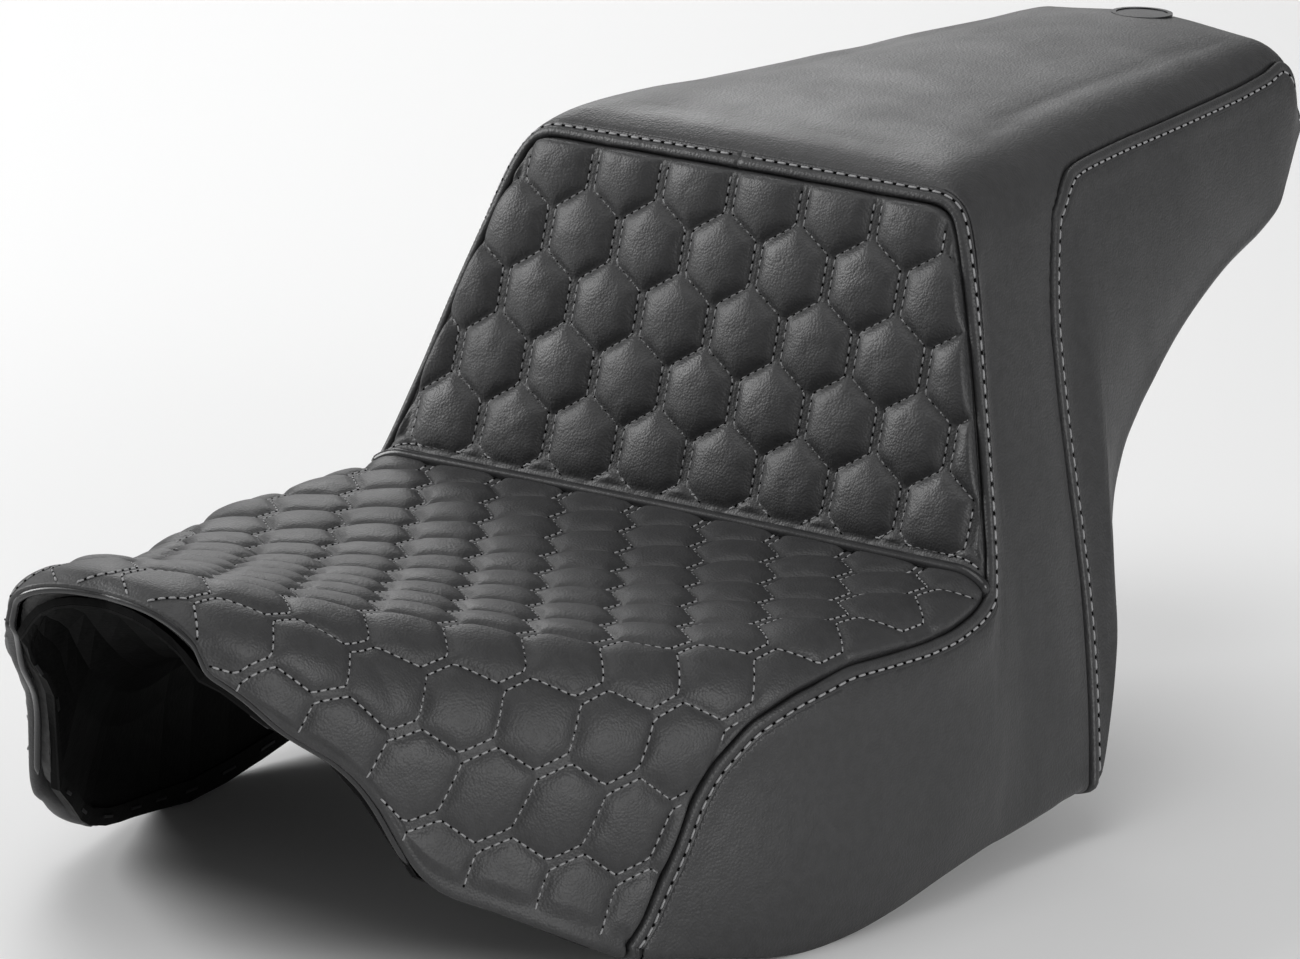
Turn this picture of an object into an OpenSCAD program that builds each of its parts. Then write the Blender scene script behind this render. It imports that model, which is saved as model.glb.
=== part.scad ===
// Two-up motorcycle seat: quilted rider dish, quilted backrest step and smooth passenger pillion.
// Millimetres. +Z is up, -Y is the nose (towards the tank), +Y is the tail, X is mirror-symmetric.
// The origin is at the centre of the footprint, on the plane of the lowest skirt edge.

/* [Upholstery] */
// thickness of every cover sheet
cover_t = 1.5; // [1:0.1:2.5]
// thickness of the sewn foam behind the quilted covers
backing_t = 3.4; // [2:0.2:6]
// clearance between neighbouring layers
layer_gap = 0.2; // [0.1:0.1:0.5]
// radius of the welt between dish and backrest
welt_r = 2.6; // [1.5:0.1:4]
// radius of the rolled bead round the nose opening
bead_r = 1.6; // [1:0.1:3]

/* [Base pan] */
// wall of the moulded base pan
pan_t = 3; // [2.5:0.1:4]
// depth of the pan skin below the cover along the skirt
skirt_depth = 9; // [8:0.5:12]
// thickness of the turned-in cover edge under the pan
hem_t = 1.2; // [0.8:0.1:2]

/* [Fixings] */
// thickness of the steel brackets
bracket_t = 3; // [2:0.5:5]
// width of the front tongue
tongue_w = 64; // [40:2:90]
// radius of the hole for the fender screw
fender_hole_r = 3.6; // [3:0.1:5]
// drop of the rear tab below the pan, set by its spacers
spacer_h = 8; // [5:1:14]
// radius of a rubber rest pad
pad_r = 15; // [10:1:20]
// height of the front and middle rest pads
pad_h = 16; // [8:1:30]
// height of the rear rest pads
rear_pad_h = 9; // [6:1:14]

/* [Trim] */
// radius of the plain round badge on the pillion
badge_r = 14; // [8:1:20]
// thickness of the badge
badge_t = 1; // [0.6:0.1:2]
// crown length of a staple
staple_l = 10; // [8:1:14]

/* [Output] */
// which node to draw

/* [Hidden] */
$fn = 32;

// One station per line, nose to tail:
// crown y, z | shoulder corner x, y, z | lower edge x, y, z | rounding | flank bulge | pan crown y, z
STATIONS = [
    [-372, 178, 44, -375, 178, 54, -370, 154, 40, 0, -370, 173],
    [-365, 182, 54, -365, 181, 66, -355, 139, 46, 0, -364, 172],
    [-353, 181.5, 61, -352, 180, 75, -340, 125, 50, 0, -352, 169],
    [-337, 179, 69, -336, 175, 84, -326, 113, 50, 0, -337, 163],
    [-317, 172, 79, -316, 168, 93, -314, 96, 50, 0, -317, 152],
    [-295, 165, 90, -295, 160, 106, -298, 63, 50, -1, -295, 140],
    [-271, 158, 104, -270, 153, 122, -273, 47.5, 50, -2, -271, 126],
    [-245, 151, 118, -245, 147, 141, -245, 32, 50, -3, -245, 113],
    [-219, 145, 135, -219, 140, 151, -219, 19, 48, -1, -219, 102],
    [-191, 139, 150, -191, 134, 160, -191, 11, 44, 2, -191, 94],
    [-164, 135, 163, -164, 130, 167, -166, 5, 38, 4, -164, 89],
    [-134, 131, 172, -134, 128, 172, -139, 0.5, 34, 5, -134, 86],
    [-104, 129, 177, -104, 128, 175, -109, 1, 32, 6, -104, 86],
    [-69, 127, 178, -69, 126, 177, -80, 5, 30, 6, -69, 86],
    [-34, 127, 177, -35, 126, 178, -50, 11, 28, 6, -34, 86],
    [-5, 127, 174, -7, 126, 178, -27, 15, 24, 5, -5, 86],
    [4, 136, 168, 4, 136, 178, -16, 17, 22, 5, 4, 86],
    [15, 174, 155, 17, 174, 178, -6, 18.5, 22, 5, 15, 86],
    [25, 211, 143, 27, 211, 178, 3, 20, 22, 5, 25, 86],
    [35, 246, 131, 37, 246, 178, 12, 21.5, 22, 5, 35, 86],
    [43, 272, 123, 45, 271, 178, 22, 23, 22, 5, 43, 86],
    [52, 282, 119, 55, 280, 177.5, 32, 24, 24, 5, 52, 91],
    [67, 286, 115, 71, 284, 177, 42, 25.4, 26, 5, 67, 100],
    [97, 287, 111, 101, 285, 176.5, 55, 26.6, 28, 4, 97, 124],
    [127, 287, 106, 128, 284, 175.9, 70, 30, 28, 3, 127, 152],
    [147, 287, 103, 143, 284, 166.5, 93, 77, 28, 2, 147, 170],
    [167, 287, 100, 160, 284, 150.5, 111.5, 125, 28, 1, 167, 186],
    [187, 287, 97, 180, 284, 138, 136, 148, 28, 0, 187, 200],
    [209, 287, 94, 203, 284, 127.5, 163, 161, 28, 0, 209, 211],
    [233, 287, 90, 229, 283, 119.5, 188, 171, 27, 0, 233, 220],
    [259, 287, 87, 259, 283, 111, 217, 182, 26, 0, 259, 227],
    [285, 287, 83, 285, 283, 103, 247.5, 191.6, 26, 0, 285, 232],
    [313, 287, 80, 312, 282, 95, 281, 200, 25, 0, 313, 236],
    [339, 287, 77, 337, 282, 88, 316, 207, 24, 0, 339, 236],
    [358, 285, 76, 353, 280, 84, 335, 213, 22, 0, 351, 236],
    [367, 278, 76, 361, 272, 81.5, 344, 221.5, 18, 0, 358, 237],
    [371, 264, 75, 364, 258, 79, 352.5, 231, 14, 0, 362, 239],
    [373, 250, 74, 367, 247, 76, 362, 240, 10, 0, 364, 241]];
LAST = len(STATIONS) - 1;

// section parameter of the long seam, against the station number
SEAM = [[0, 3], [7, 3], [7.45, 2.97], [7.76, 2.85], [8.2, 2.6], [8.55, 2.4], [8.93, 2.16], [9.3, 2],
    [10.1, 1.8], [11, 1.66], [12, 1.58], [13, 1.58], [14, 1.6], [15, 1.5], [15.5, 1.46], [20, 1.46],
    [21, 1.6], [22, 1.9], [23, 2.1], [23.5, 2.14], [24, 1.93], [24.5, 1.78], [25, 1.71], [25.5, 1.68],
    [31, 1.68], [33, 1.62], [34, 1.5], [37, 1.4]];

// grid rows, as station numbers, and the rows where panels meet
ROWS = [0, 0.5, 1, 1.5, 2, 3, 4, 5, 6, 7, 7.45, 8, 8.5, 9, 10, 11, 12, 13, 14, 15, 15.2, 15.45, 15.7,
    16, 17, 18, 19, 20, 20.5, 21, 21.5, 22, 23, 23.5, 24, 24.5, 25, 26, 27, 28, 29, 30, 31, 32, 33,
    33.5, 34, 34.5, 35, 36, 37];
NR = len(ROWS) - 1;
function row_of(u) = search(u, ROWS)[0];
FOAM_FIRST = row_of(1);
LEG_FIRST = row_of(7.45);
RIDER_LAST = row_of(15.2);
FOAM_SPLIT = row_of(15.45);
BACK_FIRST = row_of(15.7);
TOP_FIRST = row_of(20);
GROOVE = row_of(23.5);
WELT_U = 15.45;

// section parameters of the columns inside the long seam, for a narrow and for a full-depth panel
COL_NARROW = [0, 0.3, 0.6, 0.85, 1, 1.12, 1.25, 1.37, 1.5];
COL_DEEP = [0, 0.45, 0.85, 1.1, 1.35, 1.65, 2, 2.5, 3];
// shares of the way from the long seam to the lower edge
COL_FLANK = [0.14, 0.3, 0.5, 0.75, 1];
// section parameters of the foam and pan columns
COL_BODY = [0, 0.4, 0.75, 1, 1.25, 1.5, 1.75, 2, 2.2, 2.5, 2.82, 3];
NI = len(COL_NARROW) - 1;
NJ = NI + len(COL_FLANK);
NB = len(COL_BODY) - 1;

STEP = 0.02;          // step of the numeric surface normals
ROUND_PULL = 0.6;     // how far a rounding reaches into its corner
BULGE_SCALE = 6.75;   // makes the greatest outward bow of the flank equal to the table's bulge
PAN_SHOULDER = 12;    // pan shoulder inside the cover
FRONT_EXTRA = 0.35;   // further shoulder inset where the cover is well rounded
PAN_ROUND = 0.8;      // pan rounding against the cover's
EDGE_DROP = 2.1;      // pan edge below the foam and cover edges
TAIL_PULL = 2.25;     // pan shoulder ahead of the tail face, per station
TAIL_FROM = 33;
NOSE_DEPTH = 5;       // pan edge below the cover at the nose
FIRST_DEEP = 2;       // station where the full skirt depth starts
FLOOR_Z = 86;         // flat pan floor, upper face
TAIL_Z = 236;         // flat pan tail, upper face

function lim(v, lo, hi) = min(max(v, lo), hi);
function unit(v) = v / norm(v);
function mirror_x(p) = [-p[0], p[1], p[2]];
function spline(a, b, c, d, f) = b * (2*f*f*f - 3*f*f + 1) + (c - a) / 2 * (f*f*f - 2*f*f + f)
    + c * (3*f*f - 2*f*f*f) + (d - b) / 2 * (f*f*f - f*f);
function station(u) = let (c = lim(u, 0, LAST), i = min(floor(c), LAST - 1))
    spline(STATIONS[max(i - 1, 0)], STATIONS[i], STATIONS[i + 1], STATIONS[min(i + 2, LAST)], c - i);
function cubic(a, b, c, d, q) = a * pow(1 - q, 3) + b * (3 * pow(1 - q, 2) * q)
    + c * (3 * (1 - q) * q * q) + d * pow(q, 3);

// section: crown (t 0-1), rounded shoulder (1-2), flank down to the lower edge (2-3)
function section(a, k, c, f, b, t) = let (
        ka = k + (a - k) * min(f, 0.8 * norm(k - a)) / norm(k - a),
        kc = k + (c - k) * min(1.1 * f, 0.6 * norm(c - k)) / norm(c - k))
    t <= 1 ? let (e = t * t * (2 - t)) [ka[0] * t, a[1] + (ka[1] - a[1]) * e, a[2] + (ka[2] - a[2]) * e] :
    t <= 2 ? cubic(ka, ka + (k - ka) * ROUND_PULL, kc + (k - kc) * ROUND_PULL, kc, t - 1) :
    let (q = t - 2) kc + (c - kc) * q + [BULGE_SCALE * b * q * q * (1 - q), 0, 0];

function skin(u, t) = let (s = station(u), p = section([0, s[0], s[1]], [s[2], s[3], s[4]],
        [s[5], s[6], s[7]], s[8], s[9], abs(t))) t < 0 ? mirror_x(p) : p;
function skin_normal(u, t) = let (c = lim(u, STEP, LAST - STEP))
    unit(cross(skin(c, t + STEP) - skin(c, t - STEP), skin(c + STEP, t) - skin(c - STEP, t)));
function below(u, t, d) = skin(u, t) - d * skin_normal(u, t);

// the pan has its own section, hung from the cover's
function pan_edge(u) = below(u, 3, lookup(u, [[0, NOSE_DEPTH], [FIRST_DEEP, skirt_depth]]))
    - [0, 0, EDGE_DROP];
function pan_shoulder(u) = let (s = station(u), f = lim((s[4] - s[11]) / (s[4] - s[7]), 0, 1))
    [s[2] + (s[5] - s[2]) * f - PAN_SHOULDER - max(s[8] - 28, 0) * FRONT_EXTRA,
     s[3] + (s[6] - s[3]) * f - max(u - TAIL_FROM, 0) * TAIL_PULL, s[11]];
function pan(u, t) = let (s = station(u), p = section([0, s[10], s[11]], pan_shoulder(u), pan_edge(u),
        s[8] * PAN_ROUND, 0, abs(t))) t < 0 ? mirror_x(p) : p;
function pan_normal(u, t) = let (c = lim(u, STEP, LAST - STEP))
    unit(cross(pan(c, t + STEP) - pan(c, t - STEP), pan(c + STEP, t) - pan(c - STEP, t)));
function under_pan(u, t, d) = pan(u, t) - d * pan_normal(u, t);

// cover grid, right half: [point, normal] at row i, column k
function seam_t(u) = lookup(u, SEAM);
function cover_t_of(u, k) = let (a = seam_t(u), w = lim((a - 1.5) / 1.5, 0, 1))
    k <= NI ? (COL_NARROW[k] * (1 - w) + COL_DEEP[k] * w) * a / (1.5 + 1.5 * w)
    : a + (3 - a) * COL_FLANK[k - NI - 1];
COVER = [for (u = ROWS) [for (k = [0:NJ]) let (t = cover_t_of(u, k)) [skin(u, t), skin_normal(u, t)]]];
BODY = [for (u = ROWS) [for (k = [0:NB]) [skin(u, COL_BODY[k]), skin_normal(u, COL_BODY[k])]]];
PAN = [for (u = ROWS) [for (k = [0:NB]) [pan(u, COL_BODY[k]), pan_normal(u, COL_BODY[k])]]];

function half_point(g, i, k, d) = g[i][k][0] - d * g[i][k][1];
function layer(g, i0, i1, n, d) = [for (i = [i0:i1]) for (j = [-n:n]) let (p = half_point(g, i, abs(j), d))
    j < 0 ? mirror_x(p) : p];
function inner(j) = j >= 0 ? j : -j - 1;

// which grid cells a piece fills
function cell_in(piece, i, j) = let (k = inner(j))
    piece == "rider_cover" ? k < NI && i < RIDER_LAST :
    piece == "backrest_cover" ? k < NI && i >= BACK_FIRST && i < TOP_FIRST :
    piece == "pillion_wrap_cover" ? (i >= TOP_FIRST && (k < NI || i < GROOVE))
        || (i >= LEG_FIRST && i < GROOVE && k >= NI) :
    piece == "side_cover_left" ? i >= GROOVE && j >= NI :
    piece == "side_cover_right" ? i >= GROOVE && j < -NI :
    piece == "rider_quilt_backing" ? k < NI && i >= FOAM_FIRST && i < RIDER_LAST :
    piece == "backrest_quilt_backing" ? k < NI && i >= BACK_FIRST && i < TOP_FIRST :
    piece == "rider_foam" ? i >= FOAM_FIRST && i < FOAM_SPLIT :
    piece == "passenger_foam" ? i >= FOAM_SPLIT :
    piece == "hem_band" ? k >= NB - 1 || i < 1 || i >= NR - 1 :
    true;
function in_range(piece, i, j, i0, i1, n) = i >= i0 && i < i1 && j >= -n && j < n && cell_in(piece, i, j);

// a closed solid between two layers of points over the cells of one piece
module slab(piece, upper, lower, i0, i1, n) {
    w = 2 * n + 1;
    below_at = len(upper);
    cells = [for (i = [i0:i1 - 1]) for (j = [-n:n - 1]) if (cell_in(piece, i, j))
        let (a = (i - i0) * w + j + n) [i, j, a, a + 1, a + w + 1, a + w]];
    top = [for (c = cells) each c[1] >= 0 ? [[c[2], c[5], c[4]], [c[2], c[4], c[3]]]
        : [[c[2], c[5], c[3]], [c[5], c[4], c[3]]]];
    bottom = [for (f = top) [f[2] + below_at, f[1] + below_at, f[0] + below_at]];
    rims = [for (c = cells) each concat(
        in_range(piece, c[0] - 1, c[1], i0, i1, n) ? [] : [[c[2], c[3]]],
        in_range(piece, c[0] + 1, c[1], i0, i1, n) ? [] : [[c[4], c[5]]],
        in_range(piece, c[0], c[1] - 1, i0, i1, n) ? [] : [[c[5], c[2]]],
        in_range(piece, c[0], c[1] + 1, i0, i1, n) ? [] : [[c[3], c[4]]])];
    walls = [for (r = rims) each [[r[0], r[1], r[1] + below_at], [r[0], r[1] + below_at, r[0] + below_at]]];
    polyhedron(concat(upper, lower), concat(top, bottom, walls), convexity = 10);
}

module cover_piece(piece, i0, i1, d0, d1) {
    slab(piece, layer(COVER, i0, i1, NJ, d0), layer(COVER, i0, i1, NJ, d1), i0, i1, NJ);
}

// foam lies deeper under the quilted panels, which have a backing of their own
BACKING_AT = cover_t + layer_gap;
FOAM_QUILT = BACKING_AT + backing_t + 4 * layer_gap;
FOAM_SMOOTH = cover_t + 3 * layer_gap;
PAN_GAP = layer_gap;
function quilted_at(i, k) = let (u = ROWS[i]) u <= 20.5 && COL_BODY[k] <= seam_t(u) + 0.25;
function foam_top(i0, i1) = [for (i = [i0:i1]) for (j = [-NB:NB]) let (k = abs(j),
    p = half_point(BODY, i, k, quilted_at(i, k) ? FOAM_QUILT : FOAM_SMOOTH)) j < 0 ? mirror_x(p) : p];

module foam_piece(piece, i0, i1) {
    slab(piece, foam_top(i0, i1), layer(PAN, i0, i1, NB, -PAN_GAP), i0, i1, NB);
}

// a round cord along a path of [point, side direction]
module cord(path, r, sides) {
    n = len(path);
    rings = [for (i = [0:n - 1]) let (t = unit(path[min(i + 1, n - 1)][0] - path[max(i - 1, 0)][0]),
        b = unit(cross(t, path[i][1])), a = cross(b, t))
        for (s = [0:sides - 1]) path[i][0] + r * (a * cos(360 * s / sides) + b * sin(360 * s / sides))];
    skin_faces = [for (i = [0:n - 2]) for (s = [0:sides - 1]) let (e = (s + 1) % sides, p = i * sides)
        each [[p + s, p + sides + s, p + sides + e], [p + s, p + sides + e, p + e]]];
    first = [for (s = [0:sides - 1]) s];
    last = [for (s = [sides - 1:-1:0]) (n - 1) * sides + s];
    polyhedron(rings, concat(skin_faces, [first, last]), convexity = 10);
}

// places children with Z along a normal and X along a direction
module at_frame(p, nz, dx) {
    z = unit(nz);
    y = unit(cross(z, dx));
    x = cross(y, z);
    multmatrix([[x[0], y[0], z[0], p[0]], [x[1], y[1], z[1], p[1]], [x[2], y[2], z[2], p[2]], [0, 0, 0, 1]])
        children();
}

module both_sides() {
    children();
    mirror([1, 0, 0]) children();
}

// ---------------------------------------------------------------- sub-parts

module base_pan() {
    color([0.05, 0.05, 0.05])
        slab("base_pan", layer(PAN, 0, NR, NB, 0), layer(PAN, 0, NR, NB, pan_t), 0, NR, NB);
}

module rider_foam() {
    color([0.85, 0.8, 0.55]) foam_piece("rider_foam", FOAM_FIRST, FOAM_SPLIT);
}

module passenger_foam() {
    color([0.85, 0.8, 0.6]) foam_piece("passenger_foam", FOAM_SPLIT, NR);
}

module rider_quilt_backing() {
    color([0.6, 0.6, 0.6])
        cover_piece("rider_quilt_backing", FOAM_FIRST, RIDER_LAST, BACKING_AT, BACKING_AT + backing_t);
}

module backrest_quilt_backing() {
    color([0.6, 0.6, 0.6])
        cover_piece("backrest_quilt_backing", BACK_FIRST, TOP_FIRST, BACKING_AT, BACKING_AT + backing_t);
}

module rider_cover() {
    color([0.1, 0.1, 0.1]) cover_piece("rider_cover", 0, RIDER_LAST, 0, cover_t);
}

module backrest_cover() {
    color([0.1, 0.1, 0.1]) cover_piece("backrest_cover", BACK_FIRST, TOP_FIRST, 0, cover_t);
}

module pillion_wrap_cover() {
    color([0.13, 0.13, 0.13]) cover_piece("pillion_wrap_cover", LEG_FIRST, NR, 0, cover_t);
}

module side_cover_left() {
    color([0.12, 0.12, 0.12]) cover_piece("side_cover_left", GROOVE, NR, 0, cover_t);
}

module side_cover_right() {
    color([0.12, 0.12, 0.12]) cover_piece("side_cover_right", GROOVE, NR, 0, cover_t);
}

WELT_PROUD = 1;       // welt centre above the cover line
WELT_SIDES = 10;
WELT_TS = [-1.43, -1.3, -1.15, -1, -0.5, 0, 0.5, 1, 1.15, 1.3, 1.43];
module seat_welt() {
    color([0.08, 0.08, 0.08])
        cord([for (t = WELT_TS) [below(WELT_U, t, -WELT_PROUD), skin_normal(WELT_U, t)]], welt_r, WELT_SIDES);
}

BEAD_DEPTH = 3.25;    // bead centre, halfway between cover edge and pan edge
BEAD_SIDES = 8;
BEAD_US = [4.6, 4, 3.5, 3, 2.5, 2, 1.5, 1, 0.5];
BEAD_TS = [3, 2.6, 2.2, 2, 1.8, 1.6, 1.4, 1.2, 1, 0.5];
BEAD_HALF = concat([for (u = BEAD_US) [u, 3]], [for (t = BEAD_TS) [0, t]]);
BEAD_RUN = concat(BEAD_HALF, [[0, 0]],
    [for (i = [len(BEAD_HALF) - 1:-1:0]) [BEAD_HALF[i][0], -BEAD_HALF[i][1]]]);
module nose_bead() {
    color([0.14, 0.14, 0.14])
        cord([for (q = BEAD_RUN) [below(q[0], q[1], BEAD_DEPTH), skin_normal(q[0], q[1])]], bead_r, BEAD_SIDES);
}

HEM_AT = pan_t + layer_gap / 2;
module hem_band() {
    color([0.09, 0.09, 0.09])
        slab("hem_band", layer(PAN, 0, NR, NB, HEM_AT), layer(PAN, 0, NR, NB, HEM_AT + hem_t), 0, NR, NB);
}

STAPLE_AT = HEM_AT + hem_t + 0.05;
STAPLE_W = 1.3;
STAPLE_T = 0.6;
STAPLE_COL = 2.9;
STAPLE_US = [1.5, 3.5, 5.5, 7, 8, 9, 10, 11, 12, 13, 14, 15.5, 18, 21, 24, 26.5, 28.5, 29.5, 30.5, 31.5, 32.5,
    33.5];
module hem_staples() {
    color([0.75, 0.75, 0.78])
        both_sides()
            for (u = STAPLE_US)
                at_frame(under_pan(u, STAPLE_COL, STAPLE_AT), -pan_normal(u, STAPLE_COL),
                    pan(u + STEP, STAPLE_COL) - pan(u - STEP, STAPLE_COL))
                    translate([-staple_l / 2, -STAPLE_W / 2, 0]) cube([staple_l, STAPLE_W, STAPLE_T]);
}

FLOOR_UNDER = FLOOR_Z - pan_t;
TAIL_UNDER = TAIL_Z - pan_t;
TAB_TOP = TAIL_UNDER - spacer_h;
TONGUE_BACK = -62;    // rear edge of the tongue plate
TONGUE_FRONT = -196;  // front edge of the tongue plate
TONGUE_NOSE_R = 18;   // corner radius at the front edge
TONGUE_RIVET_YS = [-80, -122];
TONGUE_RIVET_X = 22;
TONGUE_SLOT_Y = -176; // locating hole near the front edge
TONGUE_HOLE_R = 5.5;
RIVET_R = 2.4;
RIVET_HEAD_R = 5;
RIVET_HEAD_T = 1.8;

module tongue_outline() {
    hull() {
        translate([-tongue_w / 2, TONGUE_BACK - 1]) square([tongue_w, 1]);
        translate([tongue_w / 2 - TONGUE_NOSE_R, TONGUE_FRONT + TONGUE_NOSE_R]) circle(TONGUE_NOSE_R);
        translate([TONGUE_NOSE_R - tongue_w / 2, TONGUE_FRONT + TONGUE_NOSE_R]) circle(TONGUE_NOSE_R);
    }
}

module front_tongue() {
    color([0.2, 0.2, 0.21])
        difference() {
            translate([0, 0, FLOOR_UNDER - bracket_t]) linear_extrude(bracket_t) tongue_outline();
            translate([0, TONGUE_SLOT_Y, FLOOR_UNDER - bracket_t - 1])
                cylinder(h = bracket_t + 2, r = TONGUE_HOLE_R, $fn = 48);
            for (x = [-TONGUE_RIVET_X, TONGUE_RIVET_X])
                for (y = TONGUE_RIVET_YS)
                    translate([x, y, FLOOR_UNDER - bracket_t - 1]) cylinder(h = bracket_t + 2, r = RIVET_R + 0.1);
        }
}

// a rivet from below: head under the plate, shank through plate and pan
module rivet() {
    translate([0, 0, -bracket_t - RIVET_HEAD_T]) cylinder(h = RIVET_HEAD_T, r1 = RIVET_HEAD_R - 1.2, r2 = RIVET_HEAD_R);
    translate([0, 0, -bracket_t]) cylinder(h = bracket_t + pan_t, r = RIVET_R);
}

module tongue_rivets() {
    color([0.65, 0.65, 0.67])
        for (x = [-TONGUE_RIVET_X, TONGUE_RIVET_X])
            for (y = TONGUE_RIVET_YS)
                translate([x, y, FLOOR_UNDER]) rivet();
}

TAB_W = 38;           // width of the rear tab
TAB_FROM = 296;       // front edge of the rear tab
TAB_SQUARE = 40;      // length of its square-cornered part
TAB_END_R = 11;       // radius of its rear end
TAB_HOLE_Y = 349;     // centre of the fender screw hole
TAB_BOLT_YS = [306, 326];
TAB_BOLT_X = 11;
BOLT_R = 2.5;
BOLT_HEAD_R = 4.6;
BOLT_HEAD_T = 3;
WASHER_R = 6;
WASHER_T = 1.2;

module rear_tab() {
    color([0.2, 0.2, 0.21])
        difference() {
            translate([0, 0, TAB_TOP - bracket_t])
                linear_extrude(bracket_t)
                    hull() {
                        translate([-TAB_W / 2, TAB_FROM]) square([TAB_W, TAB_SQUARE]);
                        translate([0, TAB_HOLE_Y]) circle(TAB_END_R);
                    }
            translate([0, TAB_HOLE_Y, TAB_TOP - bracket_t - 1])
                cylinder(h = bracket_t + 2, r = fender_hole_r, $fn = 48);
            for (x = [-TAB_BOLT_X, TAB_BOLT_X])
                for (y = TAB_BOLT_YS)
                    translate([x, y, TAB_TOP - bracket_t - 1]) cylinder(h = bracket_t + 2, r = BOLT_R + 0.2);
        }
}

module tab_fixings() {
    for (x = [-TAB_BOLT_X, TAB_BOLT_X])
        for (y = TAB_BOLT_YS)
            translate([x, y, TAB_TOP - bracket_t]) children();
}

module rear_tab_spacers() {
    color([0.1, 0.1, 0.1])
        tab_fixings()
            translate([0, 0, bracket_t])
                difference() {
                    cylinder(h = spacer_h, r = WASHER_R);
                    translate([0, 0, -1]) cylinder(h = spacer_h + 2, r = BOLT_R + 0.2);
                }
}

module rear_tab_washers() {
    color([0.7, 0.7, 0.72])
        tab_fixings()
            translate([0, 0, -WASHER_T])
                difference() {
                    cylinder(h = WASHER_T, r = WASHER_R);
                    translate([0, 0, -1]) cylinder(h = WASHER_T + 2, r = BOLT_R + 0.2);
                }
}

module rear_tab_bolts() {
    color([0.6, 0.6, 0.62])
        tab_fixings() {
            translate([0, 0, -WASHER_T - BOLT_HEAD_T]) cylinder(h = BOLT_HEAD_T, r = BOLT_HEAD_R, $fn = 6);
            translate([0, 0, -WASHER_T]) cylinder(h = WASHER_T + bracket_t + spacer_h + pan_t, r = BOLT_R);
        }
}

PAD_HOLE_R = 3.2;
PAD_SINK_R = 6.5;
PAD_SINK = 5;         // depth of the screw head below the pad's face
PAD_CHAMFER = 1.5;
FRONT_PADS = [[96, -116], [-96, -116]];
MIDDLE_PADS = [[108, 18], [-108, 18]];
REAR_PAD_U = 30;      // station of the rear pads
REAR_PAD_T = 0.6;     // section parameter of the rear pads

// a rubber pad hanging from z = 0, with a counterbored screw hole
module rest_pad(h) {
    difference() {
        union() {
            translate([0, 0, PAD_CHAMFER - h]) cylinder(h = h - PAD_CHAMFER, r = pad_r, $fn = 48);
            translate([0, 0, -h]) cylinder(h = PAD_CHAMFER, r1 = pad_r - PAD_CHAMFER, r2 = pad_r, $fn = 48);
        }
        translate([0, 0, -h - 1]) cylinder(h = h + 2, r = PAD_HOLE_R);
        translate([0, 0, -h - 1]) cylinder(h = PAD_SINK + 1, r = PAD_SINK_R);
    }
}

module pad_screw(h) {
    translate([0, 0, PAD_SINK - h - 2.2]) cylinder(h = 2.2, r1 = PAD_SINK_R - 2.2, r2 = PAD_SINK_R - 1);
    translate([0, 0, PAD_SINK - h]) cylinder(h = h - PAD_SINK + pan_t - 0.2, r = PAD_HOLE_R - 0.3);
}

module on_floor(spots) {
    for (q = spots)
        translate([q[0], q[1], FLOOR_UNDER]) children();
}

module at_rear_pads() {
    for (s = [-1, 1])
        at_frame(under_pan(REAR_PAD_U, s * REAR_PAD_T, pan_t + layer_gap), pan_normal(REAR_PAD_U, s * REAR_PAD_T),
            [1, 0, 0])
            children();
}

module front_rest_pads() {
    color([0.07, 0.07, 0.07]) on_floor(FRONT_PADS) rest_pad(pad_h);
}

module middle_rest_pads() {
    color([0.07, 0.07, 0.07]) on_floor(MIDDLE_PADS) rest_pad(pad_h);
}

module rear_rest_pads() {
    color([0.07, 0.07, 0.07]) at_rear_pads() rest_pad(rear_pad_h);
}

module rest_pad_screws() {
    color([0.65, 0.65, 0.67]) {
        on_floor(FRONT_PADS) pad_screw(pad_h);
        on_floor(MIDDLE_PADS) pad_screw(pad_h);
        at_rear_pads() pad_screw(rear_pad_h);
    }
}

BADGE_U = 33.3;       // station of the badge
BADGE_RIM = 2.2;      // width of its raised rim
module tail_badge() {
    color([0.6, 0.6, 0.6])
        at_frame(below(BADGE_U, 0, -layer_gap), skin_normal(BADGE_U, 0), [1, 0, 0])
            difference() {
                cylinder(h = badge_t, r = badge_r, $fn = 48);
                translate([0, 0, badge_t / 2]) cylinder(h = badge_t, r = badge_r - BADGE_RIM, $fn = 48);
            }
}

base_pan();
rider_foam();
passenger_foam();
rider_quilt_backing();
backrest_quilt_backing();
rider_cover();
backrest_cover();
pillion_wrap_cover();
side_cover_left();
side_cover_right();
seat_welt();
nose_bead();
hem_band();
hem_staples();
front_tongue();
tongue_rivets();
rear_tab();
rear_tab_spacers();
rear_tab_bolts();
rear_tab_washers();
front_rest_pads();
middle_rest_pads();
rear_rest_pads();
rest_pad_screws();
tail_badge();
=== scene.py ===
"""Two-up motorcycle seat: quilted rider dish and backrest, smooth pillion wrap, stitched seams."""
import math

import bpy
import numpy as np
from mathutils import Matrix, Vector
from mathutils.kdtree import KDTree


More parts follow.
